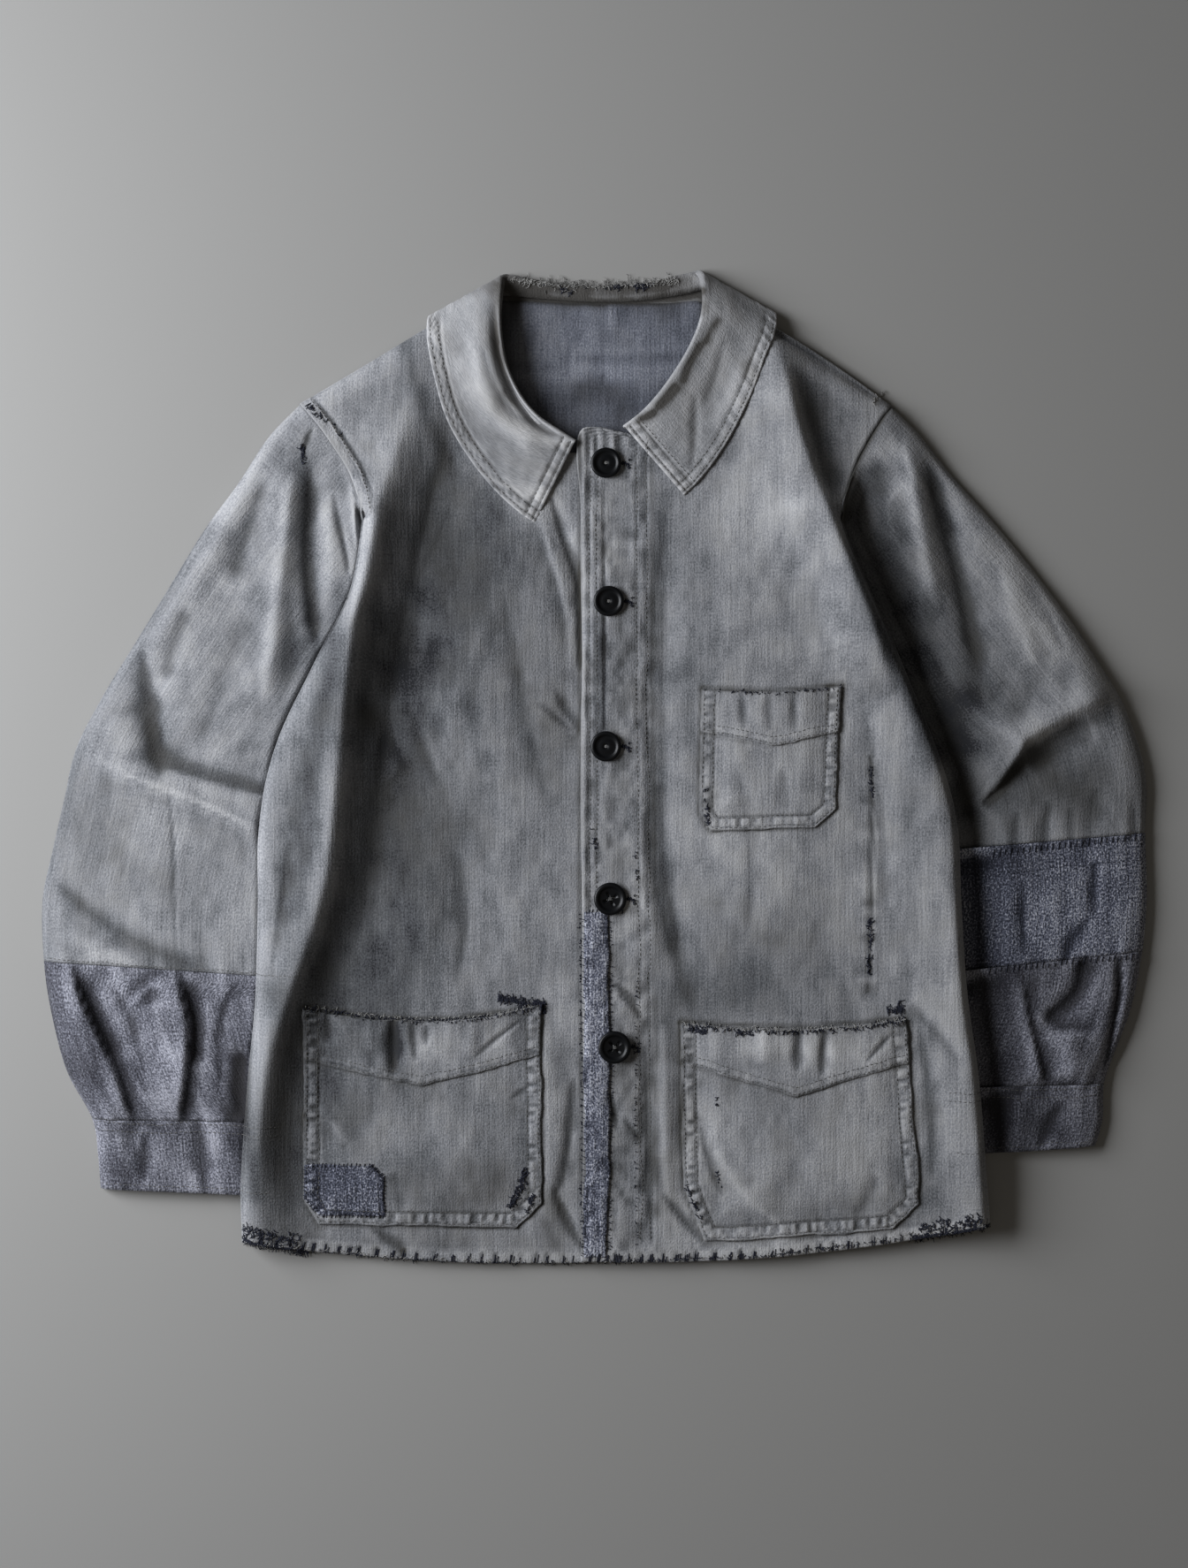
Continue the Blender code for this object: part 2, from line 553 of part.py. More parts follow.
def highest(points, x, y, radius):
    """The top of a panel under a disc."""
    panel = BVHTree.FromBMesh(sheet(points))
    places = [(x, y)]
    for angle in np.linspace(0, 2 * np.pi, 16):
        places += [(x + reach * np.cos(angle), y + reach * np.sin(angle)) for reach in (radius / 2, radius)]
    hits = [panel.ray_cast(Vector((*place, 100)), Vector((0, 0, -1)))[0] for place in places]
    return max(hit.z for hit in hits if hit)


def build_jacket():
    """All pieces, from the table up."""
    right_front, left_front = front_points(RIGHT_FRONT, 0.0), front_points(LEFT_FRONT, LAP_LIFT)
    mesh_from("back_panel", sheet(back_points()), CHAMBRAY, wall=WALL)
    mesh_from("right_front", sheet(right_front), CHAMBRAY, wall=WALL)
    mesh_from("left_front", sheet(left_front), CHAMBRAY, wall=WALL)
    mesh_from("collar", sheet(collar_points()), COLLAR_GREY, wall=COLLAR_WALL)

    for rows, pieces in ((RIGHT_SLEEVE, RIGHT_SLEEVE_PIECES), (LEFT_SLEEVE, LEFT_SLEEVE_PIECES)):
        for name, start, end, steps in pieces:
            colour = CHAMBRAY
            if start > 0:
                colour = NAVY_MARL if "band" in name else MARLED_SLATE
            mesh_from(name, tube(*sleeve_rings(rows, start, end, steps)), colour)

    over_pocket = 2 * GAP + PATCH_WALL
    on_fronts = (
        ("chest_pocket", left_front, CHEST_POCKET, GAP, COLLAR_GREY),
        ("chest_pocket_facing", left_front, CHEST_FACING, over_pocket, COLLAR_GREY),
        ("right_hip_pocket", right_front, RIGHT_POCKET, GAP, CHAMBRAY),
        ("right_hip_pocket_facing", right_front, RIGHT_FACING, over_pocket, CHAMBRAY),
        ("left_hip_pocket", left_front, LEFT_POCKET, GAP, CHAMBRAY),
        ("left_hip_pocket_facing", left_front, LEFT_FACING, over_pocket, CHAMBRAY),
        ("pocket_patch", right_front, POCKET_PATCH, over_pocket, NAVY_MARL),
        ("edge_strip", left_front, EDGE_STRIP, GAP, NAVY_MARL),
    )
    for name, panel, outline, height, colour in on_fronts:
        mesh_from(name, lie_on(panel, outline, height), colour)

    for number, (x, y, diameter, on_strip) in enumerate(BUTTONS, 1):
        base = highest(left_front, x, y, diameter * 0.35) + GAP + (over_pocket - GAP) * on_strip
        mesh_from(f"button_{number}", button(x, y, diameter, base), BLACK_HORN, roughness=0.25)


for old in list(bpy.data.objects):
    bpy.data.objects.remove(old)
build_jacket()
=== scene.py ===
"""The looks of a patched cotton work jacket that lies face up on a floor.

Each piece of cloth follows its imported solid's outline and height at a finer grain, and adds the
creases, the gathers at its seams, the stitches, the darns and the fraying. Sides are the wearer's,
so the right front is at -X. Tables are in millimetres, and meshes are in metres.
"""

import bmesh
import bpy
import numpy as np
from mathutils import Matrix, Vector
from mathutils.bvhtree import BVHTree


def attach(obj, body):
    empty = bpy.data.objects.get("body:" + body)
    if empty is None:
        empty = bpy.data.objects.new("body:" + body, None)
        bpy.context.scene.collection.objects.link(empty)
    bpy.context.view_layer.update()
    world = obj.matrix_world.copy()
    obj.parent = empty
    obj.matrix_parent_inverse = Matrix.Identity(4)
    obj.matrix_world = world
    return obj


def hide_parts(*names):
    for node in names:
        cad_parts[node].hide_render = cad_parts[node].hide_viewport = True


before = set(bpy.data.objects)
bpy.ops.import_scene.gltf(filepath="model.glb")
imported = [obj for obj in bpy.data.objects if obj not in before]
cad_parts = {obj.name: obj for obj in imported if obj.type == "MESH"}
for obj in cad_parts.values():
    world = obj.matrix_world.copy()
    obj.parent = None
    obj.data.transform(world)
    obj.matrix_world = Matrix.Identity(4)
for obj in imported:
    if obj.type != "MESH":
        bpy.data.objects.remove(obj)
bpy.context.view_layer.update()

MM = 0.001

# The cut and the lie of the jacket, as the solids have them
WALL = 1.5            # panels and sleeves with their seams
PATCH_WALL = 1.2      # pockets, facings, patch and strip
COLLAR_WALL = 1.8
GAP = 0.3
SLEEVE_LIFT = 8.5     # how far a side of the body rides up on a tucked sleeve edge
TUCK = 65.0           # how far in from the side that rise fades out
COLLAR_LIFT = 2.6     # the back rides up on the collar's hidden fall
LAP_LIFT = WALL + 0.7 # the left front over the right one
EDGE_ROUND = 14.0     # reach of the rounding at the edges
LEFT_EDGE_ROUND = 4.5 # the left side stays full to its very edge
PLACKET_LOFT = 2.3    # how full the fronts lie over the back, at the buttons and at the sides
SIDE_LOFT = 4.5
SIDE_FULL = (40, 150) # how far off the middle the sides' fullness starts and is complete
HEM_LOFT = 0.35       # share of the fullness that is left at the hem
HEM_FULL = (-345, -270)     # heights between which the fullness comes back, and the folds
HEM_FOLDED = (-352, -310)
FLATTEST = 0.4
HEM_BOW = 15.0
NECK_MIDDLE = 5.0
FALL_HEIGHTS = (250, 284)   # where the back lies on the collar's fall: up the back, and out from the middle
FALL_REACH = (165, 122)
SLEEVE_EDGE = 3.6     # thickness of a flattened sleeve at its folded edges
# How each sleeve, right and left, rises from under the body's side
UNDER_BODY_GAP = (1.0, 3.2)
ROOF_STEP = (3.3, 0.0)
ROOF_START = (2.0, 13.0)
ROOF_SLOPE = (1.3, 0.3)
SLEEVE_ROUND = 22.0   # reach of the rounding at a sleeve's folded edges, and near the armhole
ARMHOLE_ROUND = 7.0
COLLAR_GAP = 1.3
UNDERARM_Y = 175.0
UNDERARM_ROW = 9
# Heights between which, around the underarm, one thing gives way to another
ARM_LIFT_ENDS = (UNDERARM_Y + 3, UNDERARM_Y + 33)    # a sleeve stops lifting the body
SIDE_ENDS = (UNDERARM_Y - 2, UNDERARM_Y + 28)        # the rounded side edge becomes an armhole seam
PRESS_STARTS = (UNDERARM_Y + 50, UNDERARM_Y + 2)     # the body presses the sleeve down

# What the shown cloth adds
CLOTH = 0.9           # one layer of washed cotton chambray
COLLAR_CLOTH = 1.6    # two layers and their turnings
PATCH_CLOTH = 0.8     # pockets and what is sewn on
ON_POCKET = 1.66      # how high a piece on a pocket lies, counted in pocket layers
PANEL_STEP = 2.4      # spacing of a panel's points
PATCH_STEP = 1.6
COLLAR_STEP = 1.7
HEM_DEPTH = 7.5
COLLAR_ROWS = (3.0, 9.0)    # the collar's two rows of stitches, from its edge
STITCH = 2.5          # a running stitch and the gap after it
STITCH_GAP = 0.9
ROLL = ((0.7, 0.5), (1.2, 1.4), (1.1, 2.5))   # an edge turned down: (outwards, downwards)

# A front panel's rows from hem to shoulder: (side x, side y, inner x, inner y, bow of the row)
RIGHT_FRONT = np.array((
    (-245, -333, 24, -347, -7),
    (-246, -290, 24, -295, -3),
    (-241, -218, 24, -225, 0),
    (-236, -165, 24, -165, 0),
    (-234, -100, 24, -100, 0),
    (-233, -40, 24, -40, 0),
    (-221, 16, 24, 20, 0),
    (-193, 76, 24, 80, 0),
    (-169, 125, 24, 130, 0),
    (-161, 177, 22, 190, 0),
    (-164, 191, 18, 221, 0),
    (-171, 208, -22, 221, 0),
    (-181, 224, -45, 238, 0),
    (-190, 237, -64, 262, 0),
    (-198, 247, -76, 296, 0),
    (-205, 255, -84, 327, 0),
), float)
LEFT_FRONT = np.array((
    (277, -321, -8, -347, -9),
    (274, -280, -7, -295, -3),
    (269, -218, -6, -225, 0),
    (261, -160, -7, -165, 0),
    (257, -100, -7, -100, 0),
    (254, -42, -8, -40, 0),
    (241, 8, -8, 20, 0),
    (212, 80, -7, 80, 0),
    (190, 130, -8, 130, 0),
    (174, 172, -8, 180, 0),
    (179, 196, -8, 236, -2),
    (185, 212, 33, 232, 0),
    (191, 224, 56, 254, 1),
    (198, 236, 76, 282, 2),
    (204, 245, 87, 306, 3),
    (210, 252, 92, 325, 5),
), float)
# The back's top edge over its width: (share of the width, height over the shoulder tips)
NECK_EDGE = np.array(((0, 0), (0.15, 33), (0.285, 67), (0.33, 74), (0.41, 73), (0.51, 72), (0.62, 73),
                      (0.67, 75), (0.715, 67), (0.86, 33), (1, 0)), float)

# Folds: (height, width to the right of the spine's run, width to its left, spine)
# Spines mostly run down, so that the first width is the one on the -X side.
BODY_FOLDS = (
    (10, 22, 13, ((-120, 296), (-135, 231), (-148, 188), (-160, 138), (-167, 98), (-173, 53), (-179, -10),
                  (-184, -60), (-190, -92), (-201, -128), (-212, -158), (-226, -205), (-233, -260),
                  (-237, -350))),
    (5, 18, 13, ((-148, 208), (-160, 138), (-167, 98), (-173, 53), (-179, -10), (-184, -60), (-190, -92),
                 (-201, -128), (-214, -165), (-230, -230))),
    (-6, 12, 26, ((-96, 276), (-109, 200), (-124, 140), (-136, 90), (-144, 40), (-150, -20), (-156, -70),
                  (-172, -140))),
    (13, 28, 10, ((121, 306), (133, 274), (141, 242), (152, 207), (163, 176), (178, 138), (195, 95),
                  (206, 50))),
    (3.2, 34, 9, ((205, 80), (230, 8), (246, -60), (254, -160), (265, -260), (270, -350))),
    (-2.6, 8, 11, ((54, 206), (47, 135), (44, 40), (46, -66), (55, -116), (63, -151), (73, -190))),
    (-2.8, 12, 9, ((-42, 186), (-26, 146), (-17, 112), (-14, 60), (-15, -6))),
    (1.6, 30, 26, ((84, 230), (92, 150), (100, 60), (106, -40), (112, -160))),
    (1.8, 30, 26, ((-80, 170), (-66, 90), (-62, 0), (-62, -90), (-58, -170))),
    (-1.6, 20, 20, ((-122, 60), (-106, -10), (-96, -80), (-94, -150))),
    (1.8, 24, 18, ((-160, 34), (-138, 44), (-112, 50), (-84, 46))),
    (-1.6, 18, 22, ((-156, 2), (-136, 0), (-110, 8))),
    (1.5, 20, 22, ((-128, 98), (-100, 92), (-72, 82))),
)
# Small creases of the fronts, in the same columns
BODY_CREASES = (
    (-3.6, 2.6, 6, ((-30, 190), (-21, 160), (-12, 134), (-9.5, 100), (-10, 66))),
    (1.8, 5, 5, ((-40, 186), (-31, 158), (-22, 130), (-18, 104))),
    (-1.2, 2.4, 5, ((-27, 54), (-22, 43), (-14, 32), (-7, 23))),
    (-0.8, 2.4, 5, ((-40, 44), (-31, 38), (-22, 30), (-14, 24))),
    (1.8, 10, 8, ((-33, -170), (-31, -240), (-30, -322))),
    (-2.2, 3, 5, ((-14, -218), (-20, -280), (-29, -306))),
    (-2.0, 4, 3, ((-29, -294), (-19, -317), (-8, -340))),
    (-0.9, 1.4, 1.4, ((7.4, 204), (7.8, 120), (7.4, 20))),
    (-2.2, 3.5, 6, ((36, -195), (38, -271), (40, -338))),
    (2.4, 5, 7, ((49, -180), (51, -250), (54, -312))),
    (-1.4, 3, 3, ((11, -226), (17, -256))),
    (-1.4, 3, 3, ((21, -246), (36, -268))),
    (-1.2, 2, 3, ((10, -150), (28, -164), (32, -180))),
    (-1.2, 2, 3, ((18, -158), (35, -178))),
    (-2.0, 11, 7, ((222, -166), (238, -186), (262, -214))),
    (-1.5, 5, 7, ((228, -182), (236, -240), (236, -290))),
    (-1.8, 2.5, 4, ((48, -300), (76, -334))),
    (-1.5, 4, 5, ((-156, -324), (-126, -346))),
    (-1.4, 10, 12, ((-66, 124), (-52, 60), (-42, 10), (-28, -36))),
    (-1.6, 5, 6, ((-212, -50), (-224, -140), (-238, -236))),
    (1.2, 8, 8, ((30, -40), (38, -90), (46, -130))),
    (-1.3, 8, 6, ((190, 40), (200, -30), (206, -110))),
    (-1.2, 6, 8, ((96, 20), (110, -60), (108, -120))),
    (-1.0, 6, 6, ((-96, -60), (-90, -110), (-98, -156))),
)

# Sleeve rows from armhole to cuff end: (outer x, outer y, inner x, inner y, height)
RIGHT_SLEEVE = np.array((
    (-205, 255, -161, 177, 9),
    (-228, 231, -157, 153, 10),
    (-249, 199, -151, 124, 11),
    (-273, 166, -154, 100, 11),
    (-300, 122, -166, 77, 11),
    (-322, 86, -178, 50, 12),
    (-344, 50, -192, 20, 12),
    (-363, 13, -203, -8, 11),
    (-371, -20, -206, -38, 11),
    (-380, -60, -206, -68, 11),
    (-387, -95, -206, -100, 11),
    (-386, -137, -206, -149, 11),
    (-381, -172, -209, -172, 11),
    (-370, -214, -213, -214, 11),
    (-352, -248, -219, -250, 10),
    (-348, -272, -222, -276, 9),
    (-346, -297, -225, -302, 9),
), float)
LEFT_SLEEVE = np.array((
    (210, 252, 174, 172, 9),
    (229, 233, 171, 147, 10),
    (252, 204, 170, 118, 11),
    (278, 175, 184, 90, 11),
    (304, 144, 193, 64, 11),
    (330, 110, 205, 38, 12),
    (354, 75, 216, 12, 12),
    (375, 38, 226, -12, 12),
    (388, -5, 230, -36, 11),
    (388, -47, 231, -60, 11),
    (389, -92, 233, -104, 11),
    (386, -130, 235, -146, 11),
    (378, -170, 239, -176, 11),
    (367, -200, 243, -203, 11),
    (359, -223, 246, -226, 10),
    (358, -248, 249, -252, 9),
    (353, -267, 252, -274, 9),
), float)
# Folds of the sleeves, as the body's; a spine that runs to +X has its first width on the lower side
SLEEVE_FOLDS = (
    (5.2, 13, 8, ((-211, 222), (-212, 199), (-214, 177), (-216, 154), (-221, 110), (-224, 79), (-234, 36))),
    (-4.2, 5, 9, ((-200, 216), (-199, 190), (-201, 154), (-198, 110), (-193, 78))),
    (1.5, 8, 7, ((-184, 196), (-184, 160), (-184, 128), (-188, 104))),
    (3.2, 14, 12, ((-232, 214), (-240, 199), (-254, 177), (-268, 154), (-295, 110), (-310, 76))),
    (-2.2, 8, 8, ((-230, 206), (-238, 180), (-246, 154), (-256, 126))),
    (-1.6, 8, 9, ((-284, 116), (-296, 84), (-302, 58))),
    (-1.3, 10, 11, ((-244, 110), (-260, 62), (-276, 10))),
    (-3.6, 5, 11, ((-318, 8), (-280, -4), (-255, -11), (-222, -20), (-190, -28))),
    (1.5, 9, 12, ((-368, 12), (-350, 6), (-326, -5), (-300, -15), (-279, -23), (-250, -36), (-225, -50),
                  (-180, -76))),
    (-2.4, 13, 11, ((-392, -68), (-364, -94), (-330, -118), (-292, -136), (-258, -146))),
    (5.5, 24, 2.2, ((-370, -136), (-354, -176), (-338, -208), (-323, -256))),
    (-3.2, 1, 12, ((-364, -146), (-350, -180), (-336, -210))),
    (5.5, 26, 2.6, ((-297, -140), (-285, -178), (-287, -217), (-293, -256))),
    (-3.6, 1, 10, ((-290, -150), (-282, -180), (-284, -212))),
    (-3.5, 9, 9, ((-246, -196), (-248, -254))),
    (4.4, 10, 10, ((218, 240), (223, 206), (229, 172), (235, 138), (244, 106))),
    (-5, 8, 12, ((231, 226), (241, 192), (250, 160), (259, 124), (266, 90), (272, 58))),
    (7.5, 20, 8, ((372, 60), (356, 49), (334, 38), (298, 17), (275, 6), (246, -6))),
    (-4, 10, 14, ((350, 30), (325, 16), (303, -2))),
    (7, 14, 2.2, ((304, 20), (284, -8), (268, -24), (250, -46))),
    (-4.5, 1, 14, ((302, 10), (286, -12), (266, -32))),
    (4.0, 12, 1.8, ((298, -146), (302, -171), (306, -189), (316, -226))),
    (-4.2, 6, 9, ((347, -130), (341, -155), (331, -168), (314, -181))),
    (-4.0, 3.5, 2.2, ((368, -128), (370, -156), (364, -192), (359, -224))),
    (4, 14, 14, ((334, -182), (336, -222))),
)
# Small creases of the sleeves
SLEEVE_CREASES = (
    (-5.4, 13, 13, ((-318, 84), (-314, 58), (-310, 32), (-306, 8), (-303, -12))),
    (-0.8, 1.6, 2.2, ((-298, -12), (-295, -61), (-295, -96), (-294, -136))),
    (1.4, 6, 6, ((-378, -118), (-350, -126), (-318, -140))),
    (1.8, 4, 4, ((-327, -170), (-310, -154), (-298, -156), (-280, -164))),
    (-1.6, 4, 5, ((-315, -256), (-316, -292))),
    (-2.2, 7, 6, ((-278, -246), (-272, -306))),
    (1.4, 6, 6, ((-334, -256), (-332, -296))),
    (-1.3, 4, 4, ((-244, -256), (-240, -300))),
    (-1.7, 2.4, 3, ((-183, 191), (-178, 168), (-174, 150), (-171, 129))),
    (-1.6, 1.6, 2.4, ((-196, 240), (-200, 231), (-204, 220))),
    (0.8, 1.6, 2.6, ((-344, 3), (-326, -6), (-300, -16), (-279, -24), (-250, -37), (-236, -44))),
    (-1.6, 5, 6, ((-250, -150), (-262, -180), (-262, -230))),
    (-1.0, 5, 5, ((-340, -150), (-324, -180), (-314, -216))),
    (-1.2, 5, 6, ((319, -24), (315, -62))),
    (-1.3, 5, 7, ((352, -14), (347, -58))),
    (-1.1, 4, 5, ((379, -20), (382, -56))),
    (-0.9, 4, 5, ((334, -28), (336, -60))),
    (-0.9, 4, 5, ((297, -30), (294, -62))),
    (-2.0, 6, 6, ((330, -234), (312, -268))),
    (-1.6, 5, 5, ((348, -106), (336, -122), (330, -140))),
    (-1.2, 4, 4, ((300, -80), (302, -134))),
    (-1.4, 4, 4, ((352, -64), (350, -108))),
    (1.4, 6, 6, ((300, -230), (298, -268))),
    (-1.4, 7, 7, ((300, 150), (318, 110), (330, 80))),
    (1.6, 9, 9, ((286, 140), (300, 100), (308, 70))),
)

# Collar sections from the right front round the neck to the left front:
# (roll x, roll y, fall edge x, fall edge y, seam x, seam y, turn in degrees, rise of the roll)
COLLAR = np.array((
    (-12, 229, -41, 171, -19, 225, 0, 3),
    (-23, 236, -54, 180, -30, 231, 0, 4),
    (-38, 246, -71, 196, -45, 240, 0, 6),
    (-50, 260, -89, 219, -56, 255, 0, 8),
    (-59, 279, -103, 244, -66, 274, 0, 9),
    (-63, 299, -111, 271, -73, 293, 0, 9),
    (-64, 318, -116, 296, -77, 312, 0, 7),
    (-63, 335, -117, 310, -79, 323, 30, 4),
    (-62, 344, -114, 315, -78, 330, 90, 0),
    (-57, 346, -110, 310, -71, 332, 150, 0),
    (-43, 343, -74, 295, -56, 331, 180, 0),
    (-18, 339, -30, 290, -20, 328, 180, 0),
    (8, 338, 8, 288, 8, 327, 180, 0),
    (34, 340, 44, 290, 34, 328, 180, 0),
    (57, 345, 86, 297, 62, 332, 180, 0),
    (69, 348, 122, 313, 80, 336, 150, 0),
    (74, 347, 127, 317, 87, 334, 90, 0),
    (76, 337, 129, 311, 88, 328, 30, 3),
    (76, 322, 126, 299, 86, 317, 0, 4),
    (73, 308, 120, 286, 81, 303, 0, 5),
    (66, 292, 112, 264, 74, 287, 0, 5),
    (57, 277, 101, 240, 65, 272, 0, 5),
    (46, 262, 88, 218, 54, 257, 0, 4),
    (34, 249, 75, 201, 42, 245, 0, 3),
    (21, 239, 64, 190, 32, 238, 0, 2),
), float)
ROLL_RADIUS = 2.6
ROLL_DEPTH = 1.6      # how far in from the roll's crest its two sides lie
SHOULDER_HEIGHT = 5.0 # height of the collar's edge where it goes round the shoulders
CREST_LIFT = 1.0
FALL_SHARES = (0.12, 0.3, 0.55, 0.8, 1.0)   # where a section is drawn between the roll and the fall's edge
COLLAR_CREASES = (
    (-2.0, 5, 3, ((-76, 292), (-70, 270), (-57, 249), (-44, 240), (-20, 229))),
    (-1.2, 3, 3, ((71, 262), (70, 228), (68, 205))),
    (1.2, 10, 10, ((-95, 292), (-84, 258), (-66, 226), (-45, 205))),
    (-0.9, 4, 4, ((92, 300), (84, 270), (76, 250))),
    (0.9, 7, 7, ((108, 290), (98, 262), (84, 235))),
)

# Rows of pieces laid on a front, from their top edge down, straight between them:
# (left x, left y, right x, right y, bow down in a curve, point down in a V)
CHEST_POCKET = ((76, 54, 174, 56, -3, 0), (74, -33, 170, -30, 0, 0), (82, -45, 156, -43, 0, 0))
CHEST_FACING = ((76, 54, 174, 56, -3, 0), (75, 24, 173, 24, 0, -10))
RIGHT_POCKET = ((-202, -169, -37, -168, -10, 0), (-203, -303, -36, -307, 0, 0), (-193, -322, -53, -324, 0, 0))
RIGHT_FACING = ((-202, -169, -37, -168, -10, 0), (-202, -206, -38, -203, 0, -20))
LEFT_POCKET = ((61, -180, 219, -177, -5, 0), (63, -295, 229, -306, 0, 0), (78, -334, 210, -325, 0, 0))
LEFT_FACING = ((61, -180, 219, -177, -5, 0), (61, -208, 221, -208, 0, -23))
POCKET_PATCH = ((-202, -279, -156, -279, 0, 0), (-202, -287, -147, -287, 0, 0),
                (-202, -303, -147, -303, 0, 0), (-191, -316, -147, -316, 0, 0))
EDGE_STRIP = ((-6, -103, 11, -103, 0, 0), (-6, -225, 12, -225, 0, 0), (-6, -345, 10, -345, 0, 0))
POCKETS = (CHEST_POCKET, RIGHT_POCKET, LEFT_POCKET)
FACINGS = (CHEST_FACING, RIGHT_FACING, LEFT_FACING)
INNER_ROWS = (9, 10, 10)    # how far in each pocket's second row of stitches runs
# Creases of the pockets and their facings
POCKET_CREASES = (
    (-4.0, 5, 7, ((-141, -174), (-140, -196), (-141, -218))),
    (1.2, 6, 6, ((-156, -176), (-156, -200))),
    (-1.8, 3, 4, ((-127, -178), (-125, -207))),
    (1.0, 7, 7, ((-84, -178), (-86, -204))),
    (-1.2, 3, 3, ((-117, -181), (-117, -196))),
    (-1.5, 4, 4, ((-187, -172), (-186, -194))),
    (-1.2, 1.5, 2, ((-51, -178), (-67, -190), (-84, -204))),
    (-0.8, 1.5, 2, ((-42, -222), (-59, -234))),
    (-1.4, 9, 8, ((-140, -284), (-134, -312))),
    (1.0, 5, 5, ((-184, -248), (-172, -264))),
    (-1.4, 3, 7, ((72, -240), (82, -280), (91, -302))),
    (1.6, 6, 8, ((86, -268), (104, -296), (132, -322))),
    (-2.0, 4, 4, ((144, -184), (143, -214))),
    (-2.4, 4, 4, ((162, -184), (160, -217))),
    (1.0, 7, 7, ((117, -184), (118, -208))),
    (-1.2, 1.5, 2, ((209, -186), (190, -207))),
    (-1.3, 8, 8, ((200, -286), (184, -317))),
    (-1.0, 3, 3, ((104, 52), (105, 26))),
    (-1.0, 3, 3, ((140, 54), (141, 22))),
    (-0.9, 3, 3, ((122, 52), (123, 24))),
    (-0.8, 5, 5, ((132, 0), (136, -30))),
)

# Buttons from neck to hem: (x, y, diameter, sewn through four holes)
BUTTONS = (
    (9, 213, 21.5, False),
    (11, 116, 21.5, False),
    (9, 14, 21.5, False),
    (12, -93, 23.0, True),
    (15, -197, 23.0, True),
)


def ramp(value, start, end):
    """0 up to start and 1 from end on, smooth between them; end may be below start."""
    share = np.clip((value - start) / (end - start), 0, 1)
    return share * share * (3 - 2 * share)


def bell(distance, width):
    """1 in the middle, falling off smoothly to both sides, to about a third at width."""
    return np.exp(-(distance / width) ** 2)


def rounded(distance, width):
    """Quarter of an ellipse: 0 at an edge, 1 from width inwards."""
    share = np.clip(distance / width, 0, 1)
    return np.sqrt(1 - (1 - share) ** 2)


def read_rows(rows, place):
    """A table's columns read smoothly at place, counted in rows (Catmull-Rom)."""
    last = len(rows) - 1
    place = np.clip(np.asarray(place, float), 0, last)
    at = np.minimum(place.astype(int), last - 1)
    share = (place - at)[..., None]
    before, here = rows[np.maximum(at - 1, 0)], rows[at]
    after, beyond = rows[at + 1], rows[np.minimum(at + 2, last)]
    bend = 2 * before - 5 * here + 4 * after - beyond + share * (3 * (here - after) + beyond - before)
    return here + 0.5 * share * (after - before + share * bend)


def even_places(rows, start, end, step):
    """Places in a table, counted in rows, that lie about step mm apart on its middle line."""
    fine = np.linspace(start, end, 60 * (int(end - start) + 1))
    table = read_rows(rows, fine)
    middle = (table[:, :2] + table[:, 2:4]) / 2
    walked = np.concatenate([[0], np.cumsum(np.hypot(*np.diff(middle, axis=0).T))])
    return np.interp(np.linspace(0, walked[-1], round(walked[-1] / step) + 1), walked, fine)


def lumps(x, y, across, along, seed):
    """Smooth random unevenness from -1 to 1, its lumps that many mm across and along."""
    lattice = np.random.default_rng(seed).uniform(-1, 1, (97, 97))
    u, v = x / across, y / along
    i, j = np.floor(u).astype(int), np.floor(v).astype(int)
    s, t = ramp(u - i, 0, 1), ramp(v - j, 0, 1)
    low = lattice[i % 97, j % 97] * (1 - s) + lattice[(i + 1) % 97, j % 97] * s
    high = lattice[i % 97, (j + 1) % 97] * (1 - s) + lattice[(i + 1) % 97, (j + 1) % 97] * s
    return low * (1 - t) + high * t


def ripples(along, pitch, seed, row=0):
    """Smooth random unevenness along a line, from -1 to 1."""
    return lumps(along, along * 0 + row, pitch, 1, seed)


def slack(x, y, seed):
    """The waves of old washed cloth, long along the warp: big shallow ones with small ones on them."""
    big = 0.9 * lumps(x, y, 40, 85, seed) + 0.45 * lumps(x, y, 20, 36, seed + 3)
    return big + 0.26 * lumps(x, y, 11, 20, seed + 1) + 0.1 * lumps(x, y, 5, 8, seed + 2)


def beside(line, x, y, reach):
    """How points lie by a plan line: distance, side (negative to its right) and length along it, in mm.
    Points outside the line's box, grown by reach, are left at an infinite distance."""
    line = np.asarray(line, float)
    distance, side, along = np.full(x.shape, np.inf), np.zeros(x.shape), np.zeros(x.shape)
    near = (x > line[:, 0].min() - reach) & (x < line[:, 0].max() + reach)
    near &= (y > line[:, 1].min() - reach) & (y < line[:, 1].max() + reach)
    px, py = x[near], y[near]
    best, turn, at = np.full(px.shape, np.inf), np.zeros(px.shape), np.zeros(px.shape)
    walked = 0.0
    for start, end in zip(line[:-1], line[1:]):
        run = end - start
        length = np.hypot(*run)
        share = np.clip(((px - start[0]) * run[0] + (py - start[1]) * run[1]) / length ** 2, 0, 1)
        dx, dy = px - start[0] - share * run[0], py - start[1] - share * run[1]
        closer = np.hypot(dx, dy) < best
        best = np.where(closer, np.hypot(dx, dy), best)
        turn = np.where(closer, run[0] * dy - run[1] * dx, turn)
        at = np.where(closer, walked + share * length, at)
        walked += length
    distance[near], side[near], along[near] = best, turn, at
    return distance, side, along


def length_of(line):
    """Length of a line of points."""
    return float(np.linalg.norm(np.diff(np.asarray(line, float), axis=0), axis=1).sum())


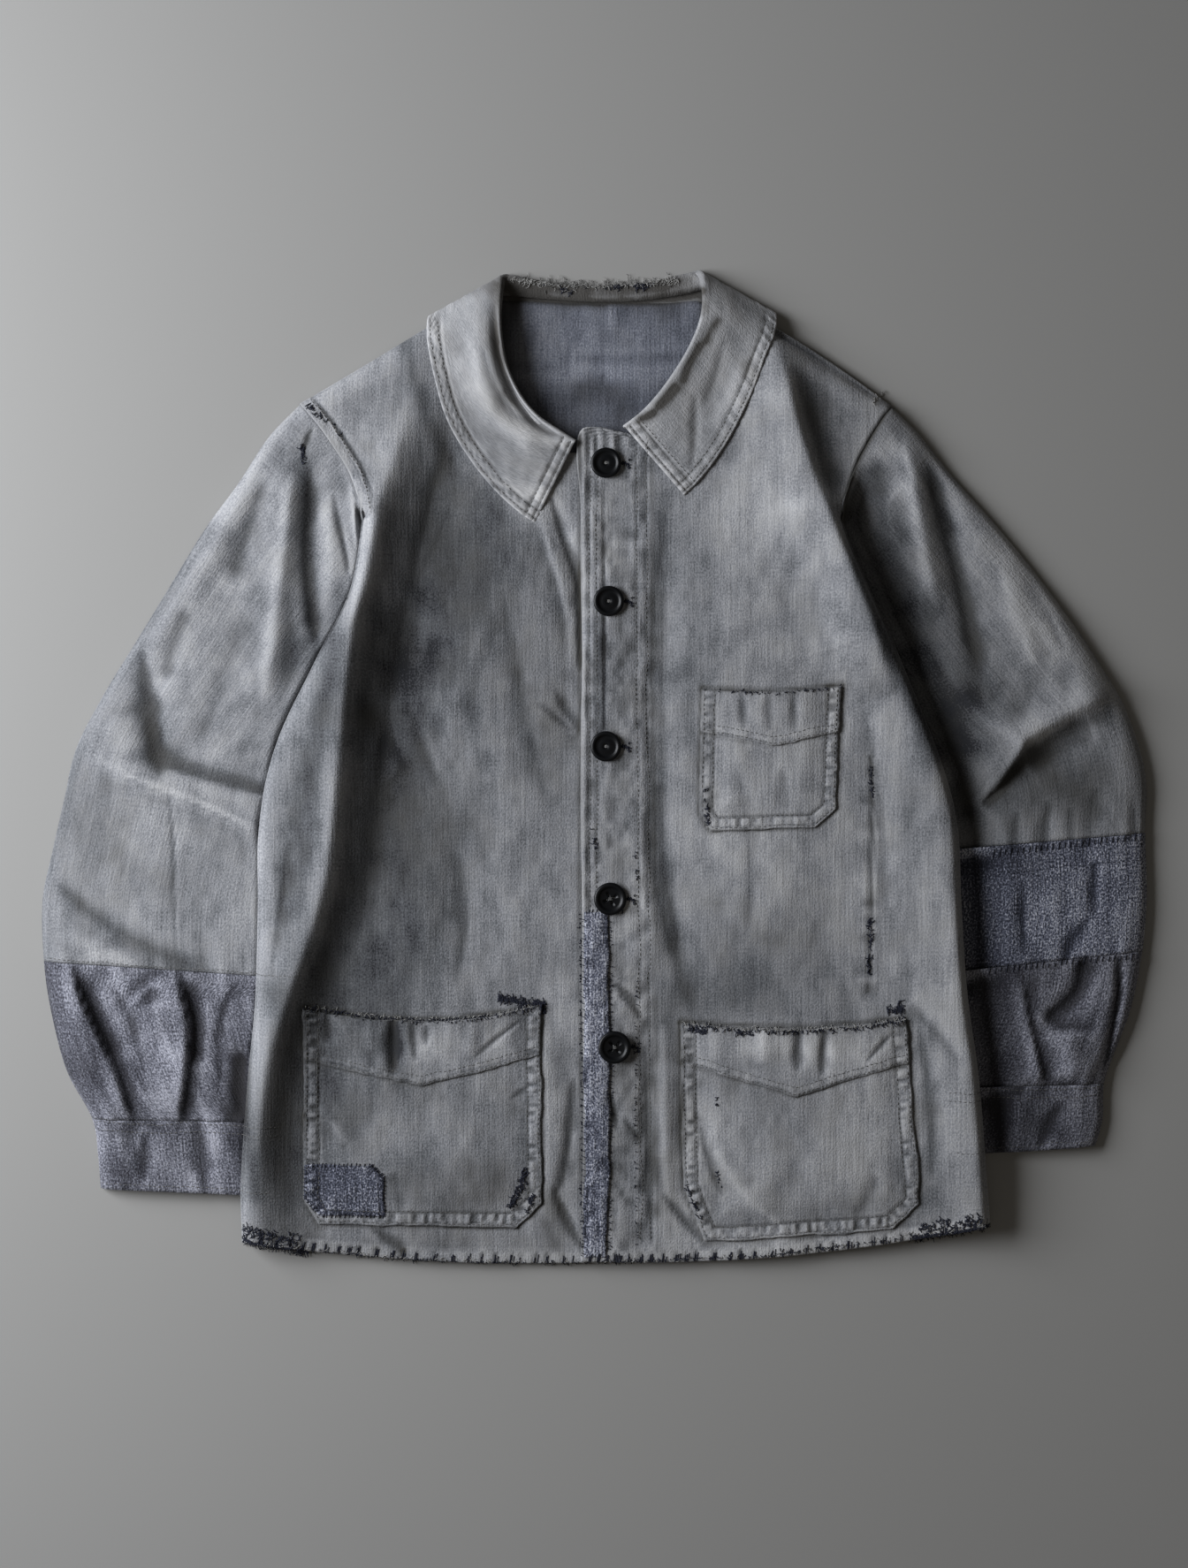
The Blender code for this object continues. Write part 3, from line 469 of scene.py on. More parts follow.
def fold_height(folds, x, y, pointed=False):
    """Height that folds add at each point: ridges, or troughs where a height is negative.
    Pointed ones are creases: they run out thin at both ends, and their width wanders."""
    total = np.zeros(np.shape(x))
    for number, (height, right, left, spine) in enumerate(folds):
        line = read_rows(np.array(spine, float), np.linspace(0, len(spine) - 1, 3 * len(spine)))
        distance, side, along = beside(line, x, y, 3 * max(right, left))
        share = along / length_of(line)
        width = np.where(side < 0, right, left)
        swell = ramp(share, -0.01, 0.22) * ramp(share, 1.01, 0.8)
        if pointed:
            swell = np.sin(np.pi * np.clip(share, 0, 1)) ** 0.7
            width = width * (0.45 + 0.55 * swell) * (1 + 0.3 * ripples(along, 11, 90, number))
        total = total + height * swell * np.exp(-(distance / width) ** 1.6)
    return total


def side_depth(rows, x, y):
    """How far a point lies in from the smooth side edge of a front's rows, negative outside."""
    inward = np.sign(rows[0, 2] - rows[0, 0])
    line = read_rows(rows, np.linspace(0, len(rows) - 1, 12 * len(rows)))
    return inward * (x - np.interp(y, line[:, 1], line[:, 0]))


def back_underside(x, y):
    """Height of the back's lower face: on the floor, raised over the sleeves and the collar's fall."""
    below_arm = ramp(y, *ARM_LIFT_ENDS[::-1])
    height = COLLAR_LIFT * ramp(y, *FALL_HEIGHTS) * ramp(np.abs(x - NECK_MIDDLE), *FALL_REACH)
    for rows in (RIGHT_FRONT, LEFT_FRONT):
        height = height + SLEEVE_LIFT * below_arm * ramp(side_depth(rows, x, y), TUCK, 0)
    return height


def shoulder_depth(x, y):
    """How far a point lies below the shoulder line, on either side of the neck."""
    depth = np.full(np.shape(x), np.inf)
    for rows in (RIGHT_FRONT, LEFT_FRONT):
        tip, neck = rows[-1, :2], rows[-1, 2:4]
        run = neck - tip
        down = np.abs((x - tip[0]) * run[1] - (y - tip[1]) * run[0]) / np.hypot(*run)
        above = (y - tip[1]) > (x - tip[0]) * run[1] / run[0]
        own_side = np.sign(x - NECK_MIDDLE) == np.sign(tip[0])
        depth = np.where(own_side, np.where(above, 0, down), depth)
    return depth


def front_top(x, y, lap):
    """Height of a front's upper face, with its loft, folds and rounded edges."""
    at_side = np.where(x < 0, side_depth(RIGHT_FRONT, x, y), side_depth(LEFT_FRONT, x, y))
    at_side = at_side + 100 * ramp(y, *SIDE_ENDS)
    edge = rounded(at_side, np.where(x < 0, EDGE_ROUND, LEFT_EDGE_ROUND))
    edge = edge * rounded(shoulder_depth(x, y), EDGE_ROUND)
    fullness = HEM_LOFT + (1 - HEM_LOFT) * ramp(y, *HEM_FULL)
    loft = PLACKET_LOFT + SIDE_LOFT * ramp(np.abs(x), *SIDE_FULL) * fullness
    loft = np.maximum(loft + fold_height(BODY_FOLDS, x, y) * ramp(y, *HEM_FOLDED), FLATTEST)
    return back_underside(x, y) + 2 * WALL + GAP + lap + edge * loft


# Rows of stitching on the fronts: (line, depth of the groove, height of the gathers, their pitch,
# reach of the gathers on the line's right side and on its left side)
PLACKET_SEAMS = (
    (((-2.5, 232), (-2.8, 100), (-2.4, -100)), 0.5, 0.35, 9, 5, 3),
    (((2.6, 232), (2.4, 100), (2.6, -100)), 0.22, 0.2, 9, 3, 7),
    (((30, 226), (30, 120), (31, 0), (32, -120), (33, -230), (34, -335)), 0.35, 0.45, 9, 8, 4),
    (((37, 229), (37, 120), (38, 0), (39, -120), (40, -230), (41, -335)), 0.45, 0.5, 10, 3, 9),
)
# The repaired rip beside the chest
RIP = ((194, 6), (195, -40), (194, -90), (193, -157))
# The two armhole seams, from the shoulder down
RIGHT_ARMHOLE, LEFT_ARMHOLE = (rows[:UNDERARM_ROW - 1:-1, :2] for rows in (RIGHT_FRONT, LEFT_FRONT))


def seam_relief(seams, x, y):
    """What rows of stitching do to the cloth: each sinks a groove and gathers the cloth beside it."""
    total = np.zeros(np.shape(x))
    for number, (line, groove, gather, pitch, right, left) in enumerate(seams):
        distance, side, along = beside(line, x, y, 22)
        reach = np.where(side < 0, right, left)
        gathers = ripples(along, pitch, 40 + number, number)
        total = total - groove * bell(distance, 1.3)
        total = total + gather * gathers * bell(distance, reach)
    return total


def front_surface(x, y, lap):
    """A front's shown upper face: the solid's, with its creases, slack and stitched seams."""
    fine = fold_height(BODY_CREASES, x, y, True)
    fine = fine + slack(x, y, 11) * rounded(shoulder_depth(x, y), EDGE_ROUND)
    if lap:
        fine = fine + seam_relief(PLACKET_SEAMS, x, y) + seam_relief(((RIP, 0.8, 0.6, 6, 7, 7),), x, y)
        # the button band is two stiff layers, cockled between its seams and proud at its folded edge
        band = ramp(x, -10, -4) * ramp(x, 44, 36)
        fine = fine + band * (0.5 * lumps(x, y, 9, 14, 15) + 0.3 * lumps(x, y, 4, 6, 16))
        gathered = ramp(y, 206, 230) * ramp(x, -4, 1) * ramp(x, 30, 22)
        fine = fine + 0.9 * gathered * lumps(x + 0.06 * y, y, 3.1, 60, 18)
        fine = fine + 0.6 * bell(x + 6.3, 1.6) * (y > -104)
        fine = fine - 0.9 * bell(beside(LEFT_ARMHOLE, x, y, 8)[0], 1.6)
    else:
        # the armhole's turnings raise the cloth beside the seam, with one groove on them and one beyond
        from_seam = beside(RIGHT_ARMHOLE, x, y, 14)[0]
        raised = 1.5 * ramp(from_seam, 8.8, 6.0) * (1 + 0.25 * lumps(x, y, 6, 6, 19))
        raised = raised - 0.6 * bell(from_seam - 5.2, 0.9) - 0.6 * bell(from_seam - 9.2, 1.5)
        fine = fine + raised * ramp(y, 176, 204)
    lowest = back_underside(x, y) + lap + 2 * CLOTH + 0.1
    return np.maximum(front_top(x, y, lap) + fine, lowest)


def roll_over(points, depth):
    """A grid with its first column carried on, out and down over what lies under it."""
    edge, inner = points[:, 0], points[:, 2]
    out = (edge - inner) * (1, 1, 0)
    out = out / np.maximum(np.linalg.norm(out, axis=1, keepdims=True), 1e-6)
    added = [edge + out * away * depth - np.array((0, 0, down * depth)) for away, down in ROLL[::-1]]
    return np.concatenate([np.stack(added, 1), points], 1)


def carried_plan(plan, points):
    """Plan coordinates for a grid that roll_over made longer: they go on by the length turned down."""
    extra = points.shape[1] - plan.shape[1]
    step = plan[:, :1] - plan[:, 1:2]
    step = step / np.maximum(np.linalg.norm(step, axis=-1, keepdims=True), 1e-6)
    more = plan[:, :1] + step * np.arange(extra, 0, -1)[None, :, None]
    return np.concatenate([more, plan], 1)


def turn_edge(points, plan, first, rows, depth=1.0):
    """roll_over on any side of a grid: first or last, and of its rows or of its columns."""
    if rows:
        points, plan = points.swapaxes(0, 1), plan.swapaxes(0, 1)
    if not first:
        points, plan = points[:, ::-1], plan[:, ::-1]
    points = roll_over(points, depth)
    plan = carried_plan(plan, points)
    if not first:
        points, plan = points[:, ::-1], plan[:, ::-1]
    if rows:
        points, plan = points.swapaxes(0, 1), plan.swapaxes(0, 1)
    return points, plan


def hem_line(rows):
    """A front's lower edge, from -X to +X."""
    share = np.linspace(0, 1, 121)[:, None]
    line = rows[0, :2] * (1 - share) + rows[0, 2:4] * share
    line[:, 1:] += rows[0, 4] * 4 * share * (1 - share)
    return line if rows[0, 0] < 0 else line[::-1]


def hem_places(rows):
    """Lengths along a front's hem of the coarse stitches that go over its edge."""
    steps = np.cumsum(np.random.default_rng(5).uniform(6.5, 13, 90))
    return steps[steps < length_of(hem_line(rows)) - 3]


def hem_pinch(rows, x, y):
    """How hard a hem's coarse stitches pinch it, 0 to 1, with the distance from its edge and along it."""
    inward, _, along = beside(hem_line(rows), x, y, 30)
    nearest = np.abs(along[..., None] - hem_places(rows)).min(-1)
    return bell(nearest, 1.9) * (0.6 + 0.5 * ripples(along, 8, 18)), inward, along


def hem_relief(rows, x, y):
    """The turned hem: a thick uneven band, pinched by its coarse stitches."""
    pinch, inward, along = hem_pinch(rows, x, y)
    swell = 0.7 + 0.3 * ripples(along, 11, 17)
    band = ramp(inward, HEM_DEPTH + 1.8, HEM_DEPTH - 1.5)
    return swell * band * (0.8 - 0.5 * pinch) - 0.8 * pinch * ramp(inward, HEM_DEPTH, HEM_DEPTH - 3)


def front_grid(rows, lap):
    """A front's shown face and its plan, from hem to shoulder and from -X to +X."""
    table = read_rows(rows, even_places(rows, 0, len(rows) - 1, PANEL_STEP))
    width = np.abs(table[:, 2] - table[:, 0]).max()
    even = np.linspace(0, 1, round(width / PANEL_STEP) + 1)
    share = (1 - (1 - even) ** 1.25 if lap else even)[None, :, None]
    plan = table[:, None, :2] * (1 - share) + table[:, None, 2:4] * share
    plan[..., 1] += table[:, 4:5] * 4 * share[..., 0] * (1 - share[..., 0])
    if rows[0, 0] > 0:
        plan = plan[:, ::-1]
    x, y = plan[..., 0], plan[..., 1]
    points = np.stack([x, y, front_surface(x, y, lap)], -1)
    points[..., 2] += hem_relief(rows, x, y)
    points, plan = turn_edge(points, plan, rows[0, 0] < 0, False)
    points, plan = turn_edge(points, plan, False, True)
    points, plan = turn_edge(points, plan, True, True)
    if lap:
        points, plan = turn_edge(points, plan, True, False, 0.6)
    return points, plan


def back_grid():
    """The back's shown upper face, drawn in a little under the fronts' turned edges."""
    place = even_places((RIGHT_FRONT + LEFT_FRONT) / 2, 0, len(RIGHT_FRONT) - 1, 2 * PANEL_STEP)
    right, left = read_rows(RIGHT_FRONT, place), read_rows(LEFT_FRONT, place)
    share = np.linspace(0.006, 0.994, 110)[None, :]
    x = right[:, :1] * (1 - share) + left[:, :1] * share
    y = right[:, 1:2] * (1 - share) + left[:, 1:2] * share
    hem_bow = -HEM_BOW * 4 * share * (1 - share) * ramp(place, 1, 0)[:, None]
    rise = ramp(place, 7.5, len(RIGHT_FRONT) - 1)[:, None] * np.interp(share, *NECK_EDGE.T)
    y = y + hem_bow + rise + 3 * ramp(place, 0.6, 0)[:, None]
    # only the part inside the neck opening shows, with a seam across it and one down its middle
    shown = ramp(y, 225, 245) * ramp(np.abs(x - NECK_MIDDLE), 95, 75)
    fine = shown * (slack(x, y, 21) - 0.5 * bell(y - 285 - 0.03 * x, 2.5) - 0.3 * bell(x - 7, 2.0))
    return np.stack([x, y, back_underside(x, y) + CLOTH + 0.1 + fine], -1), np.stack([x, y], -1)


def pressed_sleeve(own, front, x, y, from_top):
    """A sleeve's height, pressed down where the body lies over it, its seam level with the body."""
    side = 0 if front is RIGHT_FRONT else 1
    depth = side_depth(front, x, y)
    beside_body = ramp(depth, 0.8, -2.2)
    roof = back_underside(x, y) - UNDER_BODY_GAP[side] + ROOF_STEP[side] * beside_body
    roof = roof + SLEEVE_LIFT * beside_body * ramp(y, *ARM_LIFT_ENDS)
    roof = roof + ROOF_SLOPE[side] * np.maximum(-ROOF_START[side] - depth, 0)
    level = ramp(depth, 3, 0.5) * ramp(from_top, 14, 0)
    pressed = np.maximum(own - roof, 0) * ramp(y, *PRESS_STARTS) * (1 - level)
    return np.maximum(own - pressed, SLEEVE_EDGE)


def folded_edge(near, outward):
    """The fold at a sleeve's edge: from the upper face out, round and down to the floor."""
    turns = []
    for angle in np.pi * np.array((0.25, 0.5, 0.75, 1)):
        aside = np.pad(outward * 1.1 * np.sin(angle), ((0, 0), (0, 1)))
        height = np.array((0, 0, SLEEVE_EDGE / 2 * (1 + np.cos(angle))))
        turns.append(near * (1, 1, 0) + aside + height)
    return np.stack(turns, 1)


def sleeve_grid(rows, start, end, gather_top, gather_end):
    """A flattened sleeve between two of its rows: top from outer to inner edge, then the bottom back.
    The gathers are the heights of the small folds that its seams pull at each end."""
    front, lap = (RIGHT_FRONT, 0.0) if rows[0, 0] < 0 else (LEFT_FRONT, LAP_LIFT)
    along = even_places(rows, start, end, PANEL_STEP)[:, None]
    table = read_rows(rows, along[:, 0])
    down = (table[-1, :4] - table[0, :4]).reshape(2, 2).mean(0)
    nudge = np.tile(down / np.hypot(*down) * GAP / 2, 2)
    if start > 0:
        table[0, :4] += nudge
    if end < len(rows) - 1:
        table[-1, :4] -= nudge
    width = np.hypot(*(table[:, 2:4] - table[:, :2]).T)[:, None]
    columns = round(width.max() / PANEL_STEP)
    lean = np.linspace(0, 1, columns + 1)
    share = (0.85 * lean + 0.15 * (0.5 - 0.5 * np.cos(np.pi * lean)))[None, :]

    def plan_at(share):
        """Plan points across each row; the first rows bend to follow the armhole."""
        plan = table[:, None, :2] + (table[:, 2:4] - table[:, :2])[:, None] * share[..., None]
        seam = read_rows(front, len(front) - 1 - share * (len(front) - 1 - UNDERARM_ROW))[..., :2]
        chord = rows[0, :2] + (rows[0, 2:4] - rows[0, :2]) * share[..., None]
        return plan + (seam - chord) * (1 - ramp(along, 0, 2.2))[..., None]

    plan = plan_at(share)
    x, y = plan[..., 0], plan[..., 1]
    from_top = np.cumsum(np.hypot(*np.moveaxis(np.diff(plan, axis=0, prepend=plan[:1]), -1, 0)), axis=0)
    to_end = from_top[-1] - from_top
    inner_round = ARMHOLE_ROUND + (SLEEVE_ROUND - ARMHOLE_ROUND) * ramp(from_top, 40, 110)
    edge = rounded(share * width, SLEEVE_ROUND) * rounded((1 - share) * width, inner_round)
    fine = fold_height(SLEEVE_FOLDS, x, y) + fold_height(SLEEVE_CREASES, x, y, True) + slack(x, y, 31)
    across = share * width
    fine = fine + gather_top * ripples(across, 6, 51) * np.exp(-from_top / 9)
    fine = fine + gather_end * ripples(across, 7, 52) * np.exp(-to_end / 16)
    own = SLEEVE_EDGE + edge * (table[:, 4:5] - SLEEVE_EDGE)
    if start == 0:
        at_seam = ramp(from_top, 0, 40)
        own = own * at_seam + front_top(x[:1], y[:1], lap) * (1 - at_seam)
        fine = fine * ramp(from_top, 0, 16)
    own = np.maximum(own + edge * fine, SLEEVE_EDGE + edge * FLATTEST)
    upper = np.concatenate([plan, pressed_sleeve(own, front, x, y, from_top)[..., None]], -1)

    steps = np.linspace(1, 0, round(columns * 0.5))[None, 1:-1]
    under = plan_at(steps)
    lower = np.concatenate([under, np.zeros(under.shape[:2] + (1,))], -1)
    out = (table[:, :2] - table[:, 2:4]) / width
    inner_fold, outer_fold = folded_edge(upper[:, -1], -out), folded_edge(upper[:, 0], out)[:, ::-1]
    points = np.concatenate([upper, inner_fold, lower, outer_fold, upper[:, :1]], 1)
    girth = walk_rows(points)
    lengths = np.broadcast_to(from_top.mean(1)[:, None], girth.shape)
    facing_out = -1 if rows[0, 0] < 0 else 1
    return points[::facing_out], np.stack([girth, -lengths], -1)[::facing_out]


def collar_sections():
    """The collar's outer face: hairpin sections from the neck seam over the roll to the fall's edge."""
    sections = []
    for roll_x, roll_y, edge_x, edge_y, seam_x, seam_y, turn, rise in COLLAR:
        roll, edge, seam = (np.array(pair) for pair in ((roll_x, roll_y), (edge_x, edge_y), (seam_x, seam_y)))
        lap = LAP_LIFT if roll_x > 0 else 0.0
        angle = np.radians(turn)
        run = edge - roll
        run = run / np.hypot(*run)
        outward = np.array((-run[1], run[0]))
        outward = outward * np.sign(outward[1]) if abs(outward[1]) > 0.01 else outward
        normal = np.array((*(np.sin(angle) * outward), np.cos(angle)))
        front_share = ramp(float(turn), 90, 30)
        under_share = ramp(float(turn), 90, 150)
        wrapped = SHOULDER_HEIGHT * (1 - front_share) * (1 - under_share)

        def surface(place):
            """Height of what the fall lies on: the front, or the floor under the back."""
            x, y = np.array(place[0]), np.array(place[1])
            return float(front_top(x, y, lap)) * front_share + wrapped

        middle = surface(roll) + rise * front_share + ROLL_RADIUS * under_share
        middle += (COLLAR_GAP + COLLAR_WALL - ROLL_RADIUS + CREST_LIFT) * front_share
        centre = np.array((*roll, middle))
        inward = np.array((*run, 0)) * ROLL_DEPTH
        seam_height = (surface(seam) - WALL) * front_share + wrapped
        seam_height += (back_underside(*seam) + WALL) * under_share
        section = [
            np.array((*seam, seam_height)),
            centre + inward - normal * ROLL_RADIUS,
            centre,
            centre + inward + normal * ROLL_RADIUS,
        ]
        for share in FALL_SHARES:
            place = roll + (edge - roll) * share
            resting = np.array((*place, surface(place) + (COLLAR_GAP + COLLAR_WALL) * front_share))
            rolled = np.array((*place, (centre + normal * ROLL_RADIUS)[2]))
            near = (1 - share) ** 2.2 * front_share
            section.append(resting * (1 - near) + rolled * near
                           + np.array((*normal[:2], 0)) * ROLL_RADIUS * (1 - front_share) * (1 - under_share))
        sections.append(section)
    return np.array(sections)


def normals_of(points):
    """Unit normals of a grid."""
    normal = np.cross(np.gradient(points, axis=1), np.gradient(points, axis=0))
    return normal / np.maximum(np.linalg.norm(normal, axis=-1, keepdims=True), 1e-9)


def walk_rows(points):
    """Length along each row of a grid from its first column, in mm."""
    return np.cumsum(np.linalg.norm(np.diff(points, axis=1, prepend=points[:, :1]), axis=-1), axis=1)


def collar_grid():
    """The collar's shown face, from the left leaf's end round the neck and from seam to edge, with each
    point's distance over the cloth past the roll, to the outer edge and to the nearer leaf's end."""
    coarse = collar_sections()[::-1]
    count, across = coarse.shape[:2]
    round_neck = np.linspace(0, count - 1, round(600 / COLLAR_STEP))
    long = read_rows(coarse.reshape(count, -1), round_neck)
    shown = ramp(read_rows(COLLAR[::-1, 6:7], round_neck), 90, 30)
    long = long.reshape(-1, across, 3).swapaxes(0, 1).reshape(across, -1)
    # few points over the roll, more over the fall
    place = np.concatenate([np.linspace(0, 3, 9)[:-1], np.linspace(3, across - 1, round(62 / COLLAR_STEP))])
    points = read_rows(long, place).reshape(len(place), -1, 3).swapaxes(0, 1)
    walked = walk_rows(points)
    past_roll = walked - walked[:, 5:6]
    to_edge = walked[:, -1:] - walked
    along = walk_rows(points.swapaxes(0, 1)).swapaxes(0, 1)
    to_end = np.minimum(along, along[-1:] - along)
    x, y = points[..., 0], points[..., 1]
    fall = ramp(past_roll, 3, 7) * shown
    on_right = ramp(x, 0, -12) * ramp(y, 330, 290)
    puffed = on_right * (3.4 * bell(past_roll - 22, 11) - 4.6 * bell(past_roll - 8, 2.9))
    puffed = puffed + (1 - on_right) * 1.6 * bell(past_roll - 20, 14)
    fine = puffed * ramp(to_end, 6, 34) + fold_height(COLLAR_CREASES, x, y, True) + slack(x, y, 63)
    fine = fine + 0.5 * ripples(along, 3.6, 61) * ramp(to_edge, 12, 7)
    fine = fine + 0.5 * ripples(walked, 3.6, 62) * ramp(to_end, 13, 8)
    for at in COLLAR_ROWS:
        fine = fine - 0.7 * bell(to_edge - at, 0.9) - 0.7 * bell(to_end - at, 0.9)
    fine = fine - 0.8 * bell(to_edge, 1.2) - 0.8 * bell(to_end, 1.2)
    at_back = (1 - shown) * (-0.5 * bell(past_roll + 5, 1.0) + 0.3 * lumps(along, past_roll, 5, 3, 64))
    points = points + normals_of(points) * (fine * fall + at_back)[..., None]
    return points, np.stack([along, walked], -1), past_roll, to_edge, to_end


def wobble(plan):
    """Plan points of hand-laid pieces and their seams, moved a little, so that no edge is straight."""
    x, y = plan[..., 0], plan[..., 1]
    aside = 1.1 * lumps(x, y, 19, 19, 81) + 0.5 * lumps(x, y, 5, 5, 82)
    up = 1.1 * lumps(x, y, 19, 19, 83) + 0.5 * lumps(x, y, 5, 5, 84)
    return plan + np.stack([aside, up], -1)


def laid_grid(rows):
    """Plan of a piece laid on a front, from its top row down."""
    rows = np.array(rows, float)
    places = [0.0]
    for number, (above, below) in enumerate(zip(rows[:-1], rows[1:])):
        longest = max(np.hypot(*(above - below)[:2]), np.hypot(*(above - below)[2:4]))
        steps = max(2, round(longest / PATCH_STEP))
        places += list(number + np.arange(1, steps + 1) / steps)
    table = np.stack([np.interp(places, np.arange(len(rows)), column) for column in rows.T], -1)
    share = np.linspace(0, 1, round(max(rows[:, 2] - rows[:, 0]) / PATCH_STEP) + 1)[None, :]
    x = table[:, :1] * (1 - share) + table[:, 2:3] * share
    y = table[:, 1:2] * (1 - share) + table[:, 3:4] * share
    y = y + table[:, 4:5] * 4 * share * (1 - share) + table[:, 5:6] * (1 - np.abs(2 * share - 1))
    return np.stack([x, y], -1)


def pocket_height(plan, outline, top, inner, gather, gape):
    """What a pocket adds to the cloth under it: a puffed bag held by two rows of stitches, with
    gathers between them, and a top edge that gapes in soft upright folds."""
    x, y = plan[..., 0], plan[..., 1]
    distance, _, along = beside(outline, x, y, 400)
    from_top, _, _ = beside(top, x, y, 400)
    puff = 1.5 * ramp(distance, inner, inner + 18)
    pleats = ripples(x, 11, 71)
    loft = gape * np.exp(-from_top / 16) * ramp(distance, 2, 22) * (0.75 + 0.45 * pleats)
    band = ramp(distance, 1.6, 3.2) * ramp(distance, inner, inner - 2)
    gathers = 1.5 * gather * band * lumps(along, distance, 2.9, 7, 72)
    grooves = 0.5 * bell(distance - 2.2, 0.9) + 0.55 * bell(distance - inner, 1.2)
    rim = 0.5 * bell(distance, 0.9)
    fine = 0.8 * slack(x, y, 73) * ramp(distance, 2, 14)
    creases = fold_height(POCKET_CREASES, x, y, True) * ramp(distance, 0, 5)
    return puff + loft + gathers - grooves - rim + fine + creases


def inset(line, away):
    """A line of plan points moved to its left by the same distance everywhere, its corners mitred."""
    line = np.asarray(line, float)
    heading = np.diff(line, axis=0)
    heading = heading / np.hypot(*heading.T)[:, None]
    left = np.stack([-heading[:, 1], heading[:, 0]], -1)
    before, after = np.concatenate([left[:1], left]), np.concatenate([left, left[-1:]])
    return line + away * (before + after) / (1 + (before * after).sum(-1, keepdims=True))


def sides_of(rows):
    """Corners of a laid piece: from the top left down, along its lower edge and up to the top right."""
    rows = np.array(rows, float)
    return np.concatenate([rows[:, :2], rows[::-1, 2:4]])


def upper_edge(rows):
    """The bowed top edge of a laid piece, from left to right."""
    x0, y0, x1, y1, bow, _ = rows[0]
    share = np.linspace(0, 1, 41)
    return np.stack([x0 + (x1 - x0) * share, y0 + (y1 - y0) * share + 4 * bow * share * (1 - share)], -1)


def lower_edge(rows):
    """The lower edge of a facing, from left to its point and to the right."""
    x0, y0, x1, y1, _, point = rows[-1]
    return np.array(((x0, y0), ((x0 + x1) / 2, (y0 + y1) / 2 + point), (x1, y1)))


def srgb(code):
    """A hex colour as linear RGBA."""
    parts = np.array([int(code[i:i + 2], 16) for i in (1, 3, 5)]) / 255
    return (*np.where(parts <= 0.04045, parts / 12.92, ((parts + 0.055) / 1.055) ** 2.4), 1.0)


def stands_proud(points, reach, wrapped):
    """How far each point stands above the mean of those reach steps away on its four sides, in mm."""
    padded = np.pad(points, ((reach, reach), (0, 0), (0, 0)), mode="edge")
    padded = np.pad(padded, ((0, 0), (reach, reach), (0, 0)), mode="wrap" if wrapped else "edge")
    inner = slice(reach, -reach)
    far = 2 * reach
    mean = (padded[far:, inner] + padded[:-far, inner] + padded[inner, far:] + padded[inner, :-far]) / 4
    return ((points - mean) * normals_of(points)).sum(-1)


def spots(table, x, y):
    """Soft oval marks: (x, y, half width, half height, strength)."""
    total = np.zeros(np.shape(x))
    for place_x, place_y, wide, high, strength in table:
        total = total + strength * np.exp(-((x - place_x) / wide) ** 2 - ((y - place_y) / high) ** 2)
    return total


# Where the cloth is soiled, and spots of painted shade at the elbow and beside the body's edges: (x, y, half
# width, half height, strength)
SOIL_AND_PAINTED_SHADE = (
    (18, 150, 18, 60, 0.2), (18, 50, 20, 60, 0.3), (18, -60, 22, 60, 0.25), (22, -220, 22, 90, 0.35),
    (-46, 60, 24, 60, 0.3), (-130, -60, 40, 60, 0.25), (-120, -334, 120, 12, 0.3), (-26, -316, 14, 30, 0.5),
    (120, -120, 60, 34, 0.3), (56, -240, 12, 90, 0.4), (-30, 20, 12, 40, 0.3), (-130, -226, 26, 16, 0.3),
    (-100, -302, 34, 14, 0.42), (-166, -250, 16, 26, 0.35), (-70, -286, 16, 16, 0.4),
    (84, -290, 14, 24, 0.4), (184, -312, 16, 16, 0.35), (104, -226, 30, 12, 0.25),
    (150, -262, 40, 30, 0.15), (-218, -250, 12, 90, 0.6), (78, 12, 7, 16, 0.4), (80, -30, 6, 12, 0.6),
    (-112, 190, 30, 60, 0.3), (-64, 296, 10, 50, 0.8), (320, -16, 60, 26, 0.6), (300, -150, 60, 60, 0.1),
    (-311, 22, 8, 26, 0.5), (-350, -40, 22, 30, 0.4), (-330, -80, 40, 20, 0.25), (-20, 333, 54, 8, 0.6),
    (44, 335, 30, 7, 0.4), (106, 280, 5, 8, 0.4), (-30, 342, 44, 9, 1.0), (40, 342, 34, 9, 0.8),
    (-160, 36, 20, 10, 0.4), (-60, -240, 12, 12, 0.3), (-104, -282, 44, 20, 0.22), (-128, -30, 20, 30, 0.3),
    (262, 90, 20, 70, 0.3), (-88, 120, 24, 50, 0.4), (-100, -40, 30, 40, 0.25), (-250, -225, 9, 26, 0.9),
)
